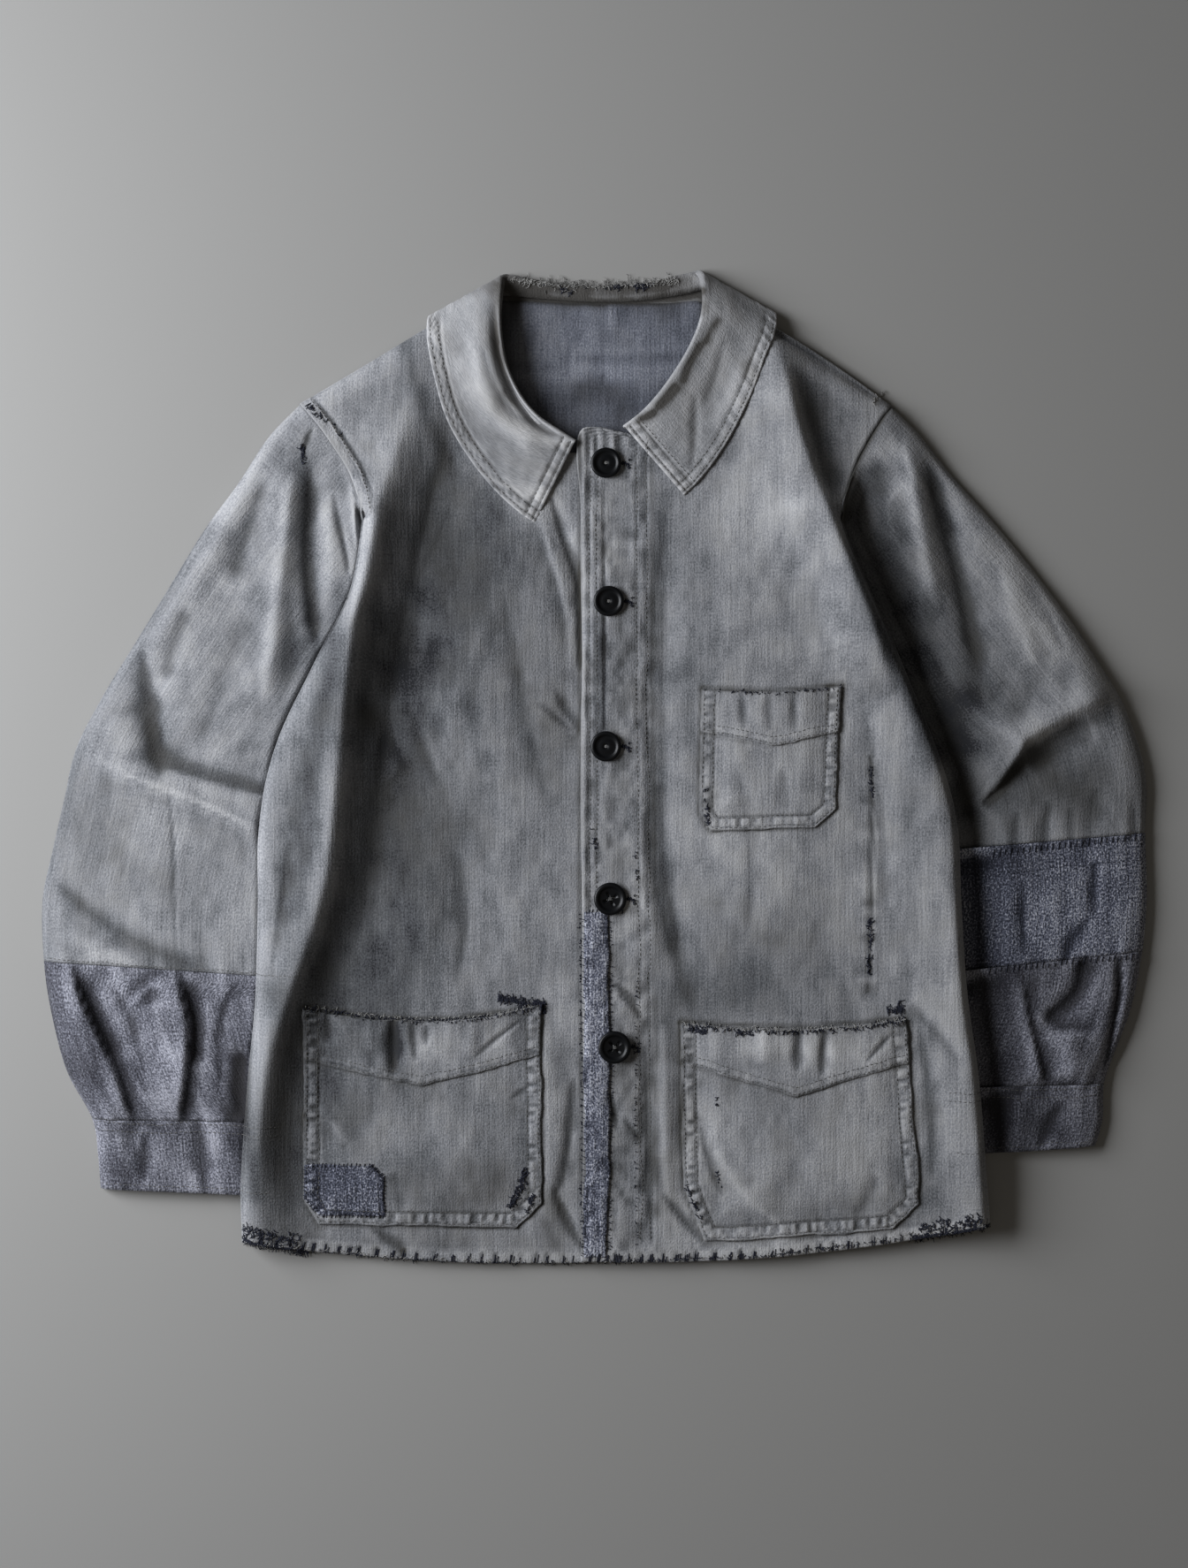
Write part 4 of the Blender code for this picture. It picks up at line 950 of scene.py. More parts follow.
# Where it is bleached pale or worn thin, and spots of painted light and shade where the window lights folds
# and edges; below nought, darker than the rest
PALE_AND_PAINTED_SHADING = (
    (-150, 236, 34, 40, 0.4), (-250, 120, 50, 80, 0.35), (-330, -20, 50, 90, 0.15),
    (140, 190, 60, 80, 0.55), (170, 20, 40, 90, 0.3), (28, -98, 8, 14, 0.8), (-62, -130, 26, 50, 0.25),
    (110, 40, 50, 150, 0.3), (130, -100, 60, 50, 0.45), (140, -270, 70, 50, 0.6),
    (-110, -270, 60, 50, 0.15), (-110, -196, 50, 12, 0.4), (140, -196, 60, 12, 0.8), (16, 160, 20, 60, 0.5),
    (16, -80, 20, 200, 0.25), (-94, 146, 40, 80, -0.85), (-110, -70, 50, 70, -0.65),
    (-204, 20, 20, 110, -0.45), (-214, -120, 18, 90, -0.6), (0, -342, 260, 9, 0.3), (330, 0, 60, 50, -0.35),
    (316, 88, 24, 40, 0.5), (-20, -150, 12, 60, 0.2), (56, -290, 8, 50, 0.3), (-308, 14, 12, 24, -1.0),
    (3, -180, 12, 160, 0.1), (330, -170, 60, 30, -0.2), (-133, 30, 20, 80, -0.9), (-112, 62, 20, 34, -0.8),
    (-135, -110, 18, 60, -0.6), (-165, -170, 30, 50, -0.7), (-178, -244, 20, 34, -0.8),
    (-228, -275, 16, 46, -0.7), (1, 66, 7, 70, -0.5), (68, 88, 14, 54, -0.6), (90, 76, 20, 26, -0.55),
    (-48, 222, 18, 26, 0.4), (-184, 54, 13, 46, -0.7), (202, -262, 30, 80, 0.5), (200, -52, 16, 40, 0.7),
    (-40, 190, 18, 18, 0.4), (76, 226, 20, 22, -0.6), (-174, -297, 30, 18, -0.5), (16, 66, 14, 40, -0.3),
    (28, -268, 14, 40, -0.3), (-240, 62, 34, 34, 0.3), (-290, 12, 14, 24, -0.7), (210, 202, 12, 22, 0.7),
    (264, 56, 14, 20, -0.8), (334, -12, 28, 20, -0.6), (312, -250, 40, 16, -0.5), (290, 141, 16, 30, 0.5),
    (-248, -250, 12, 60, -0.9), (-352, -212, 14, 28, -0.9), (142, -333, 80, 8, 0.5),
    (-118, -330, 60, 8, 0.2), (105, -188, 30, 10, 0.4), (184, 110, 10, 40, -0.6), (90, -160, 30, 20, -0.3),
    (150, 170, 20, 36, -0.6), (124, 228, 20, 36, -0.3), (-111, 104, 20, 34, -0.3), (-86, 76, 18, 24, -0.25),
    (-137, -194, 9, 24, -1.3), (228, 6, 10, 40, -0.5), (272, -4, 13, 14, 0.8), (318, 20, 18, 10, 0.9),
    (-22, -256, 10, 30, 0.5), (112, -270, 14, 20, -0.4), (4, 264, 26, 16, 0.25), (-134, -16, 14, 26, -0.4),
    (-156, -134, 12, 14, -0.5), (-50, 186, 24, 16, 0.3), (162, -186, 5, 18, -0.6), (144, -186, 5, 18, -0.5),
    (276, 84, 16, 40, -0.35), (161, 258, 12, 20, -0.4), (-134, -281, 26, 14, -0.5),
    (-223, -158, 10, 12, -0.8), (-290, -182, 7, 14, -0.7), (-334, -152, 10, 14, 0.8), (1, 20, 8, 14, -0.6),
    (68, -158, 10, 14, -0.6), (45, -292, 8, 20, -0.5), (240, -326, 36, 10, 0.7), (4.6, 68, 3, 34, -0.7),
    (-314, 46, 8, 12, -0.4), (250, -6, 9, 11, 0.6), (340, 22, 12, 10, 0.4), (364, -12, 14, 20, 0.4),
    (-86, -84, 16, 24, 0.35), (-350, -134, 18, 6, 0.7), (-312, -160, 8, 10, -0.7),
    (-336, -284, 11, 16, -0.8), (-267, -258, 11, 20, 0.5), (96, -80, 20, 24, -0.4),
)
# Long marks of painted shade where the body's edges, the collar and the folds throw shadow, and along the
# right sleeve's outer edge that the window lights too bright, and of painted highlight on a lit fold's crest:
# (line, width, strength)
PAINTED_SHADING_LINES = (
    (RIGHT_SLEEVE[3:14, :2], 9, -0.6), (RIGHT_SLEEVE[3:14, :2], 22, -0.3),
    (((200, 206), (206, 170), (222, 122), (240, 74), (258, 10), (264, -30)), 9, -1.2),
    (((289, -10), (291, -100), (292, -200), (294, -270)), 14, -0.8),
    (((-176, 120), (-184, 60), (-192, 0), (-196, -60), (-204, -130)), 9, -0.5),
    (((138, 240), (150, 206), (160, 176), (174, 140), (188, 100)), 12, -0.5),
    (((-328, -6), (-300, -16), (-279, -24), (-250, -37), (-238, -43)), 1.8, 0.35),
    (((181, 176), (184, 160), (190, 134), (201, 100), (214, 66), (228, 35), (242, 8)), 8, -1.0),
    (((170, 180), (178, 152), (184, 131), (196, 100), (208, 72), (224, 38)), 4, -0.6),
    (((-214, 40), (-222, 0), (-226, -50), (-214, -100)), 8, -0.4),
    (((236, 206), (244, 186), (250, 166)), 6, -0.7),
    (((194, 176), (203, 140), (214, 110)), 10, -0.7), (((262, 48), (264, 34), (274, 14)), 12, -0.8),
    (((-134, 304), (-125, 270), (-116, 244), (-102, 216)), 6, -0.8),
    (((-98, 206), (-80, 190), (-64, 176)), 9, -0.4),
    (((50, 190), (46, 130), (44, 60)), 5, -0.4), (((45, -16), (47, -60), (54, -110), (57, -128)), 5, -0.7),
    (((7.6, 104), (8, 66), (7.4, 28)), 1.3, -1.0),
    (((-250, -206), (-246, -230), (-239, -270), (-236, -300)), 5, -0.6),
    (((-200, 208), (-199, 176), (-200, 140), (-199, 104)), 7, -0.7),
)
# Dark lines against seams and edges: grime, and painted shade along the edges of laid pieces and under the
# pocket openings: (line, width, strength)
SEAM_DIRT_AND_PAINTED_SHADE = [
    *((inset(sides_of(rows), -0.6), 1.3, 0.6) for rows in POCKETS),
    *((inset(sides_of(rows), 9.5), 1.2, 0.25) for rows in POCKETS),
    *((inset(lower_edge(rows), -0.6), 1.1, 0.35) for rows in FACINGS),
    *((inset(upper_edge(rows), 1.4), 1.9, 0.8) for rows in POCKETS),
    (((41, 232), (41, 120), (42, 0), (43, -120), (44, -230), (45, -340)), 2.2, 0.3),
    (((-9.5, 232), (-9.5, 120), (-9.5, -100), (-8, -230), (-8, -342)), 1.8, 0.6),
    (RIP, 1.8, 0.4), (RIGHT_ARMHOLE, 1.6, 0.35), (LEFT_ARMHOLE, 1.8, 1.2),
    (((47, 253), (57, 264)), 3.8, 1.25), (((33, 243), (42, 247)), 3.2, 1.15),
    (((63, 270), (67, 281), (74, 293)), 3.0, 1.1), (((79, 297), (82, 304), (87, 311)), 3.4, 1.0),
    (((-54, 330), (-18, 327), (8, 326), (34, 327), (58, 329), (76, 333)), 3.2, 0.9),
    (((76, 316), (78, 331)), 3.4, 0.5), (((50, 250), (74, 290)), 7, 0.3),
    (((-14, 230), (-32, 234), (-48, 245), (-62, 262)), 1.6, 0.4),
]


def lines_at(table, x, y):
    """Soft long marks: (line, width, strength)."""
    total = np.zeros(np.shape(x))
    for line, width, strength in table:
        total = total + strength * bell(beside(line, x, y, 3 * width)[0], width)
    return total


def wear_and_shading_of(points, wrapped, pale):
    """How pale the cloth is drawn: rubbed paler on ridges and edges, darker in hollows as painted shade, and
    with the painted light and shade of the spot and line tables.
    """
    fine, broad = stands_proud(points, 1, wrapped), stands_proud(points, 4, wrapped)
    deep = stands_proud(points, 9, wrapped)
    # worn: ridges rubbed paler, and below nought painted shade in the hollows
    worn = 0.4 * np.tanh(fine / 0.14) + 0.4 * np.tanh(broad / 0.8) + 0.2 * np.tanh(deep / 2.5)
    x, y = points[..., 0], points[..., 1]
    return np.clip(worn, -0.8, 0.42) + pale + spots(PALE_AND_PAINTED_SHADING, x, y) + lines_at(PAINTED_SHADING_LINES, x, y)


def soil_and_shade_of(points, wrapped):
    """How far the cloth is drawn towards its soiled colour: in soiled places, with painted shade in hollows,
    and with grime and painted shade against seams and edges.
    """
    x, y = points[..., 0], points[..., 1]
    hollow_shade = np.clip(-stands_proud(points, 4, wrapped) / 0.9, 0, 1)
    return spots(SOIL_AND_PAINTED_SHADE, x, y) + lines_at(SEAM_DIRT_AND_PAINTED_SHADE, x, y) + 0.35 * hollow_shade


def mesh_of(build, name):
    """The mesh of a finished build."""
    data = bpy.data.meshes.new(name)
    build.to_mesh(data)
    build.free()
    return data


def placed(name, data):
    """A new object in the scene."""
    piece = bpy.data.objects.new(name, data)
    bpy.context.scene.collection.objects.link(piece)
    return piece


def cloth(name, points, plan, finish, wall, slot, pale=0.0, dirty=0.0, wrapped=False):
    """A sheet of cloth from a grid of points, with its threads' plan, its rubbed and soiled places, and its
    painted light and shade.
    """
    rows, columns = points.shape[:2]
    build = bmesh.new()
    bmesh.ops.create_grid(build, x_segments=columns - 1, y_segments=rows - 1, size=1)
    data = mesh_of(build, name)
    data.vertices.foreach_set("co", (points * MM).astype(np.float32).ravel())
    corner = np.zeros(len(data.loops), np.int32)
    data.loops.foreach_get("vertex_index", corner)
    threads = data.uv_layers.new(name="threads")
    threads.data.foreach_set("uv", plan.reshape(-1, 2)[corner].astype(np.float32).ravel())
    soil_and_shade = np.clip(soil_and_shade_of(points, wrapped) + dirty, 0, 1.5)
    for title, values in (("wear_and_shading", wear_and_shading_of(points, wrapped, pale)), ("soil_and_shade", soil_and_shade)):
        layer = data.attributes.new(title, "FLOAT", "POINT")
        layer.data.foreach_set("value", values.astype(np.float32).ravel())
    if wrapped:
        build = bmesh.new()
        build.from_mesh(data)
        bmesh.ops.remove_doubles(build, verts=build.verts, dist=1e-6)
        build.to_mesh(data)
        build.free()
    data.shade_smooth()
    data.materials.append(finish)
    piece = placed(name, data)
    thick = piece.modifiers.new("wall", "SOLIDIFY")
    thick.thickness = wall * MM
    thick.offset = -1
    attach(piece, "root")
    return piece


def node(tree, kind, values=(), links=(), stops=(), **settings):
    """Adds one shader node with its settings, its inputs' values and what feeds them."""
    made = tree.nodes.new("ShaderNode" + kind)
    for title, value in settings.items():
        setattr(made, title, value)
    for title, value in dict(values).items():
        made.inputs[title].default_value = value
    for title, source in dict(links).items():
        tree.links.new(source, made.inputs[title])
    for number, (place, colour) in enumerate(stops):
        ends = made.color_ramp.elements
        stop = ends[number] if number < 2 else ends.new(place)
        stop.position, stop.color = place, srgb(colour)
    return made.outputs


def finish_of(name):
    """A new material, its node tree and its shader."""
    made = bpy.data.materials.new(name)
    made.use_nodes = True
    shader = made.node_tree.nodes["Principled BSDF"]
    return made, made.node_tree, shader


def grain(tree, place, across, along, detail=2.0):
    """Unevenness of the yarn, its marks that many mm across the warp and along it."""
    scaled = node(tree, "Mapping", {"Scale": (1 / across, 1 / along, 1)}, {"Vector": place})[0]
    levels = {"Scale": 1.0, "Detail": detail}
    return node(tree, "TexNoise", levels, {"Vector": scaled}, noise_dimensions="2D")[0]


def add_up(tree, start, parts):
    """A sum of patterns, each with its weight, and each counted from its middle of 0.5."""
    total = start
    for source, weight in parts:
        lowered = node(tree, "Math", {1: 0.5}, {0: source}, operation="SUBTRACT")[0]
        total = node(tree, "Math", {1: weight}, {0: lowered, 2: total}, operation="MULTIPLY_ADD")[0]
    return total


def woven(name, shades, soil_and_shade_colour, streak, fleck, mottle, base, bump=0.5):
    """Plain-woven cotton: faint streaks of uneven warp and weft, flecks of the two yarns' colours, rubbed
    and soiled places, and painted light and shade. Threads are drawn about three times as coarse as real 0.5
    mm ones, to show from afar."""
    made, tree, shader = finish_of(name)
    place = node(tree, "UVMap", uv_map="threads")[0]
    warp, weft = grain(tree, place, 1.6, 34), grain(tree, place, 26, 1.8)
    slub = grain(tree, place, 6, 80, 1.0)
    flecks = grain(tree, place, 1.2, 1.5, 1.5)
    cloud, drift = grain(tree, place, 20, 26, 4.0), grain(tree, place, 80, 110, 2.0)
    wear_and_shading = node(tree, "Attribute", attribute_name="wear_and_shading")["Fac"]
    soil_and_shade = node(tree, "Attribute", attribute_name="soil_and_shade")["Fac"]
    tone = node(tree, "Math", {1: 0.34, 2: base}, {0: wear_and_shading}, operation="MULTIPLY_ADD")[0]
    tone = add_up(tree, tone, ((warp, streak), (weft, streak * 0.35), (slub, streak * 0.5), (flecks, fleck),
                               (cloud, mottle), (drift, mottle)))
    colour = node(tree, "ValToRGB", links={"Fac": tone}, stops=shades)[0]
    # the soiled colour is mixed in where the cloth is soiled and where painted shade lies
    dirt = add_up(tree, soil_and_shade, ((cloud, 1.1), (flecks, 0.3)))
    mixed = node(tree, "Mix", {7: srgb(soil_and_shade_colour)}, {0: dirt, 6: colour}, data_type="RGBA")[2]
    tree.links.new(mixed, shader.inputs["Base Color"])
    height = add_up(tree, flecks, ((warp, 0.8), (weft, 0.6), (slub, 0.5)))
    relief = node(tree, "Bump", {"Strength": bump, "Distance": 0.0006}, {"Height": height})[0]
    tree.links.new(relief, shader.inputs["Normal"])
    shader.inputs["Roughness"].default_value = 0.92
    shader.inputs["Specular IOR Level"].default_value = 0.2
    shader.inputs["Sheen Weight"].default_value = 0.1
    shader.inputs["Sheen Roughness"].default_value = 0.5
    return made


def washed_chambray():
    """Cotton chambray, grey-blue warp on off-white weft, washed till it is grey and soft."""
    # the two darkest stops are reached only under the deepest painted shade
    shades = ((0.0, "#242528"), (0.1, "#3b3c3f"), (0.35, "#5b5d60"), (0.62, "#838487"), (1.0, "#b3b3b3"))
    return woven("washed_chambray", shades, "#3a3936", 0.2, 0.55, 0.5, 0.56)


def inner_chambray():
    """The back's inner face, which no sun has reached: the same chambray, still blue-grey."""
    shades = ((0.0, "#25272c"), (0.35, "#474a52"), (0.62, "#686b74"), (1.0, "#9a9ca3"))
    return woven("inner_chambray", shades, "#302f2e", 0.24, 0.6, 0.36, 0.54)


def faded_collar_cloth():
    """The same chambray, sun-bleached and rubbed at the neck until it is nearly ecru."""
    shades = ((0.0, "#505052"), (0.35, "#7f8082"), (0.65, "#a4a4a5"), (1.0, "#cbcac8"))
    return woven("faded_collar_cloth", shades, "#454340", 0.12, 0.45, 0.5, 0.5)


def marled_slate_cloth():
    """Cloth of slate and purple-grey yarns twisted together, which gives short light and dark flecks."""
    shades = ((0.15, "#26262c"), (0.45, "#52535b"), (0.62, "#767780"), (0.95, "#acadb6"))
    return woven("marled_slate_cloth", shades, "#29282a", 0.3, 1.0, 0.35, 0.5, 0.7)


def navy_marl_cloth():
    """Cloth of navy and white yarns twisted together: it sparkles with white points on navy."""
    shades = ((0.15, "#22242d"), (0.42, "#464955"), (0.62, "#6f727f"), (0.95, "#bcbec6"))
    return woven("navy_marl_cloth", shades, "#1d1f28", 0.3, 1.4, 0.3, 0.52, 0.8)


def plain_finish(name, shade, roughness, gloss, speckle):
    """A stuff of one colour, finely uneven by the share that speckle gives."""
    made, tree, shader = finish_of(name)
    place = node(tree, "TexCoord")["Object"]
    cloud = node(tree, "TexNoise", {"Scale": 900.0, "Detail": 3.0}, {"Vector": place})[0]
    dark = tuple(part * (1 - speckle) for part in srgb(shade)[:3]) + (1.0,)
    light = tuple(min(1.0, part * (1 + speckle)) for part in srgb(shade)[:3]) + (1.0,)
    mixed = node(tree, "Mix", {6: dark, 7: light}, {0: cloud}, data_type="RGBA")[2]
    tree.links.new(mixed, shader.inputs["Base Color"])
    shader.inputs["Roughness"].default_value = roughness
    shader.inputs["Specular IOR Level"].default_value = gloss
    return made


def strands(name, lines, thickness, finish):
    """Many short threads as one mesh, each a round strand along its own points, in mm."""
    curve = bpy.data.curves.new(name, "CURVE")
    curve.dimensions = "3D"
    curve.bevel_depth = thickness / 2 * MM
    curve.bevel_resolution = 0
    curve.use_fill_caps = True
    for line in lines:
        spline = curve.splines.new("POLY")
        spline.points.add(len(line) - 1)
        spline.points.foreach_set("co", np.pad(line * MM, ((0, 0), (0, 1)), constant_values=1).ravel())
    holder = placed(name, curve)
    evaluated = holder.evaluated_get(bpy.context.evaluated_depsgraph_get())
    data = bpy.data.meshes.new_from_object(evaluated)
    bpy.data.objects.remove(holder)
    data.name = name
    data.shade_smooth()
    data.materials.clear()
    data.materials.append(finish)
    piece = placed(name, data)
    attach(piece, "root")
    return piece


def walk(line, lengths, aside=0.0):
    """Points at lengths along a line of plan or space points, moved aside to its left in plan."""
    line = np.asarray(line, float)
    runs = np.linalg.norm(np.diff(line, axis=0), axis=1)
    walked = np.concatenate([[0], np.cumsum(runs)])
    at = np.stack([np.interp(lengths, walked, column) for column in line.T], -1)
    piece = np.clip(np.searchsorted(walked, lengths, side="right") - 1, 0, len(runs) - 1)
    heading = (line[1:] - line[:-1])[piece, :2]
    heading = heading / np.maximum(np.linalg.norm(heading, axis=-1, keepdims=True), 1e-9)
    left = np.stack([-heading[..., 1], heading[..., 0]], -1)
    at[..., :2] += left * np.asarray(aside, float)[..., None]
    return at


class Top:
    """The uppermost cloth at any place."""

    def __init__(self, pieces):
        verts, faces = [], []
        for piece in pieces:
            start = len(verts)
            verts += [vert.co / MM for vert in piece.data.vertices]
            faces += [[start + corner for corner in face.vertices] for face in piece.data.polygons]
        self.tree = BVHTree.FromPolygons(verts, faces)

    def lay(self, plan, lift=0.0):
        """Plan points laid on the cloth and lifted, in mm."""
        flat = np.asarray(plan, float)[..., :2].reshape(-1, 2)
        down = Vector((0, 0, -1))
        heights = []
        for x, y in flat:
            hit = self.tree.ray_cast(Vector((x, y, 80)), down)[0]
            heights.append(hit.z if hit else 0.5)
        laid = np.concatenate([flat, np.array(heights)[:, None]], 1).reshape(*np.shape(plan)[:-1], 3)
        laid[..., 2] += lift
        return laid


def stitch_row(line, seed):
    """Running stitches along a line that lies on the cloth, each sunk in at its two ends."""
    random = np.random.default_rng(seed)
    starts = np.arange(STITCH_GAP, length_of(line) - STITCH, STITCH + STITCH_GAP)
    places = starts[:, None] + STITCH * np.array((0, 0.3, 0.7, 1))
    laid = walk(line, places, random.uniform(-0.15, 0.15, len(starts))[:, None] * np.ones(4))
    laid[..., 2] += np.array((-0.35, 0.14, 0.14, -0.35))
    return list(laid)


def oversewn(top, line, places, inner, outer, slant, seed):
    """Coarse stitches over an edge. Each crosses the line, from inner mm on its left to outer mm on its
    right."""
    random = np.random.default_rng(seed)
    places = np.asarray(places)[:, None]
    reach = np.linspace(inner, -outer, 5)[None, :] * random.uniform(0.6, 1.15, (len(places), 1))
    along = places + slant * reach / (inner + outer) + random.uniform(-0.4, 0.4, (len(places), 1))
    return list(top.lay(walk(line, along, reach), 0.3))


def tufts(top, line, count, longest, lean, seed):
    """Frayed yarn ends along a line: short bent threads, mostly to its right."""
    random = np.random.default_rng(seed)
    share = np.linspace(0, 1, 5)[None, :]
    start, bend, size = (random.uniform(0, 1, (count, 1)) for _ in range(3))
    angle = random.normal(0, lean, (count, 1)) + (bend - 0.5) * 2.2 * share
    reach = longest * (0.3 + 0.7 * size) * share
    along = start * length_of(line) + reach * np.sin(angle)
    laid = top.lay(walk(line, along, random.uniform(-0.8, 0.8, (count, 1)) - reach * np.cos(angle)))
    laid[..., 2] += 0.15 + 0.9 * share * random.uniform(0, 1, (count, 1))
    return list(laid)


def darning(top, line, width, count, longest, seed):
    """Criss-cross threads over a worn place, up to width mm to each side of a line."""
    random = np.random.default_rng(seed)
    share = np.linspace(-0.5, 0.5, 5)[None, :]
    start = random.uniform(0, length_of(line), (count, 1))
    aside = random.normal(0, width / 2, (count, 1))
    angle = random.choice((0.0, np.pi / 2), (count, 1)) + random.normal(0, 0.5, (count, 1)) + share
    reach = longest * random.uniform(0.4, 1, (count, 1)) * share
    laid = top.lay(walk(line, start + reach * np.cos(angle), aside + reach * np.sin(angle)))
    laid[..., 2] += 0.1 + random.uniform(0.2, 0.9, (count, 1)) * (1 - 4 * share ** 2)
    return list(laid)


# Worn places darned with navy thread: (line, width to each side, threads, longest)
DARNS = (
    (((-67, -163), (-50, -166), (-34, -168)), 2.8, 120, 6), (((-36, -166), (-35, -174)), 2, 36, 5),
    (((-47, -282), (-52, -298), (-60, -311)), 3.4, 84, 5), (((-43, -300), (-46, -314)), 2, 26, 5),
    (((206, -172), (216, -170)), 2.4, 40, 5), (((214, -164), (216, -178)), 1.8, 26, 5),
    (((66, -184), (80, -186)), 2.2, 34, 5), (((100, -186), (112, -188)), 1.8, 20, 4),
    (((65, -294), (70, -306), (76, -318)), 1.8, 26, 4), (((78, -16), (81, -42)), 1.6, 26, 4),
    (((-200, 254), (-194, 244)), 2.2, 16, 4), (((-205, 226), (-203, 212)), 2.2, 26, 5),
    (((194, 0), (195, -22)), 1.6, 22, 4), (((194, -106), (193, -146)), 1.8, 44, 5),
    (((0, -44), (1, -58)), 2.2, 12, 4), (((30, -60), (31, -80)), 1.6, 10, 3),
    (((-246, -325), (-222, -330), (-206, -334)), 4.5, 90, 6), (((228, -324), (272, -316)), 4.0, 90, 6),
    (((-194, 250), (-188, 240)), 1.6, 7, 4), (((-182, 240), (-177, 232)), 1.6, 4, 3),
    (((86, -232), (87, -240)), 1.0, 7, 3), (((86, -284), (90, -296)), 1.2, 10, 3),
    (((-23, 336), (-15, 333)), 2.4, 14, 4), (((12, 336), (22, 338)), 2.4, 20, 4),
    (((28, 337), (38, 338)), 2.8, 30, 4),
)
# Frayed edges, threads to the right of the line: (line, threads, longest, spread, navy)
FRAYS = (
    (((-202, -168), (-160, -175), (-120, -178), (-80, -176), (-40, -169)), 150, 3.2, 0.9, True),
    (((-40, -169), (-80, -176), (-120, -178), (-160, -175), (-202, -168)), 130, 2.6, 1.0, False),
    (((61, -180), (100, -184), (140, -185), (180, -183), (219, -177)), 170, 3.4, 0.9, True),
    (((219, -177), (180, -183), (140, -185), (100, -184), (61, -180)), 170, 2.8, 1.0, False),
    (((76, 54), (125, 51), (174, 56)), 60, 2.0, 1.0, True),
    (((-246, -330), (-232, -335), (-200, -340)), 190, 7.5, 0.8, True),
    (((-200, -340), (-140, -346), (-40, -349), (24, -348)), 150, 4.0, 0.9, True),
    (((26, -347), (120, -343), (215, -331)), 150, 3.4, 0.9, True),
    (((222, -330), (250, -326), (279, -320)), 220, 7.5, 0.8, True),
    (((-245, -332), (-140, -345), (0, -349), (140, -341), (277, -320)), 260, 3.0, 1.0, False),
    (((-58, 343), (-30, 340), (8, 339), (40, 340), (58, 343)), 260, 3.0, 1.3, False),
    (((-40, 339), (0, 337), (48, 340)), 20, 2.6, 1.5, True),
    (((14, 339), (34, 341)), 12, 3.0, 1.5, True),
    (((206, 264), (196, 255)), 40, 3.0, 1.4, False),
    (((-9, -100), (-8, -230), (-8, -344)), 110, 1.8, 0.8, True),
    (((12, -344), (13, -230), (12, -104)), 60, 1.6, 0.8, True),
    (((30, -338), (29, -230), (30, -150)), 50, 2.0, 1.0, True),
)


def grid_line(points, walked, at):
    """Where each row of a grid reaches a length from its start."""
    found = []
    for row, way, reach in zip(points, walked, at):
        found.append([np.interp(reach, way, column) for column in row.T])
    return np.array(found)


def collar_stitches(points, past_roll):
    """Two rows of stitches along each leaf's outer edge and along the collar's two ends."""
    crosswise = points.swapaxes(0, 1)
    walked, along = walk_rows(points), walk_rows(crosswise)
    first_shown = np.argmax(past_roll[0] > 3)
    lines = []
    for number, away in enumerate(COLLAR_ROWS):
        row = grid_line(points, walked, walked[:, -1] - away)
        for leaf in (row[:len(row) * 7 // 24], row[-len(row) * 7 // 24:]):
            lines += stitch_row(leaf, 100 + number)
        right_end = grid_line(crosswise, along, along[:, 0] + away + 3 * number)
        left_end = grid_line(crosswise, along, along[:, -1] - away)
        lines += stitch_row(right_end[first_shown:], 110 + number)
        lines += stitch_row(left_end[first_shown:], 120 + number)
    return lines


# Seams across the sleeves: (sleeve, row, how far to the line's left the stitches run)
SLEEVE_SEAMS = (
    (RIGHT_SLEEVE, 11, 2), (RIGHT_SLEEVE, 14, -2), (RIGHT_SLEEVE, 14, -8), (RIGHT_SLEEVE, 16, 4),
    (LEFT_SLEEVE, 14, -2), (LEFT_SLEEVE, 14, -8), (LEFT_SLEEVE, 16, 4),
)
# Edges sewn over by hand: (line, pitch, reach to its left, reach to its right, slant)
OVERSEWN = (
    (((276, -62), (330, -56), (387, -49)), 4.2, 2.5, 2.5, 1.5),
    (((274, -144), (330, -138), (384, -133)), 4.2, 2.5, 2.5, 1.5),
    (sides_of(POCKET_PATCH), 3.0, 1.6, 1.2, 0.6),
    (((-202, -279), (-156, -279), (-147, -287)), 3.0, 1.2, 1.6, 0.6),
    (((-7, -104), (-7, -225), (-7, -343)), 4.5, 1.8, 1.2, 1.0),
    (((12, -343), (13, -225), (12, -104)), 4.5, 1.8, 1.2, 1.0),
    (((24, -102), (-6, -102)), 3.0, 1.2, 1.5, 0.5),
)
WORN_NECK = ((-52, 341), (8, 339), (60, 343))


def stitched(top, line, seed):
    """Running stitches on the cloth along a plan line."""
    dense = walk(line, np.arange(0, length_of(line), 1.5))
    return stitch_row(top.lay(wobble(dense)), seed)


def grey_threads(top, collar):
    """The running stitches of the seams, and grey threads over the worn edge of the neck."""
    seams = collar_stitches(*collar)
    for number, (line, *_) in enumerate(PLACKET_SEAMS):
        seams += stitched(top, line, number)
    for rows, inner in zip(POCKETS, INNER_ROWS):
        seams += stitched(top, inset(sides_of(rows), 2.2), 10)
        seams += stitched(top, inset(sides_of(rows), inner), 11)
    for rows in FACINGS:
        seams += stitched(top, inset(lower_edge(rows), 2.0), 12)
        seams += stitched(top, inset(lower_edge(rows), 6.5), 13)
    seams += stitched(top, inset(RIGHT_FRONT[UNDERARM_ROW:, :2], -7), 14)
    for rows, number, away in SLEEVE_SEAMS:
        row = rows[number, :4].reshape(2, 2)
        row = row if row[0, 0] < row[1, 0] else row[::-1]
        seams += stitched(top, inset(row, away), 15 + number)
    return seams + darning(top, WORN_NECK, 4.0, 90, 4, 141)


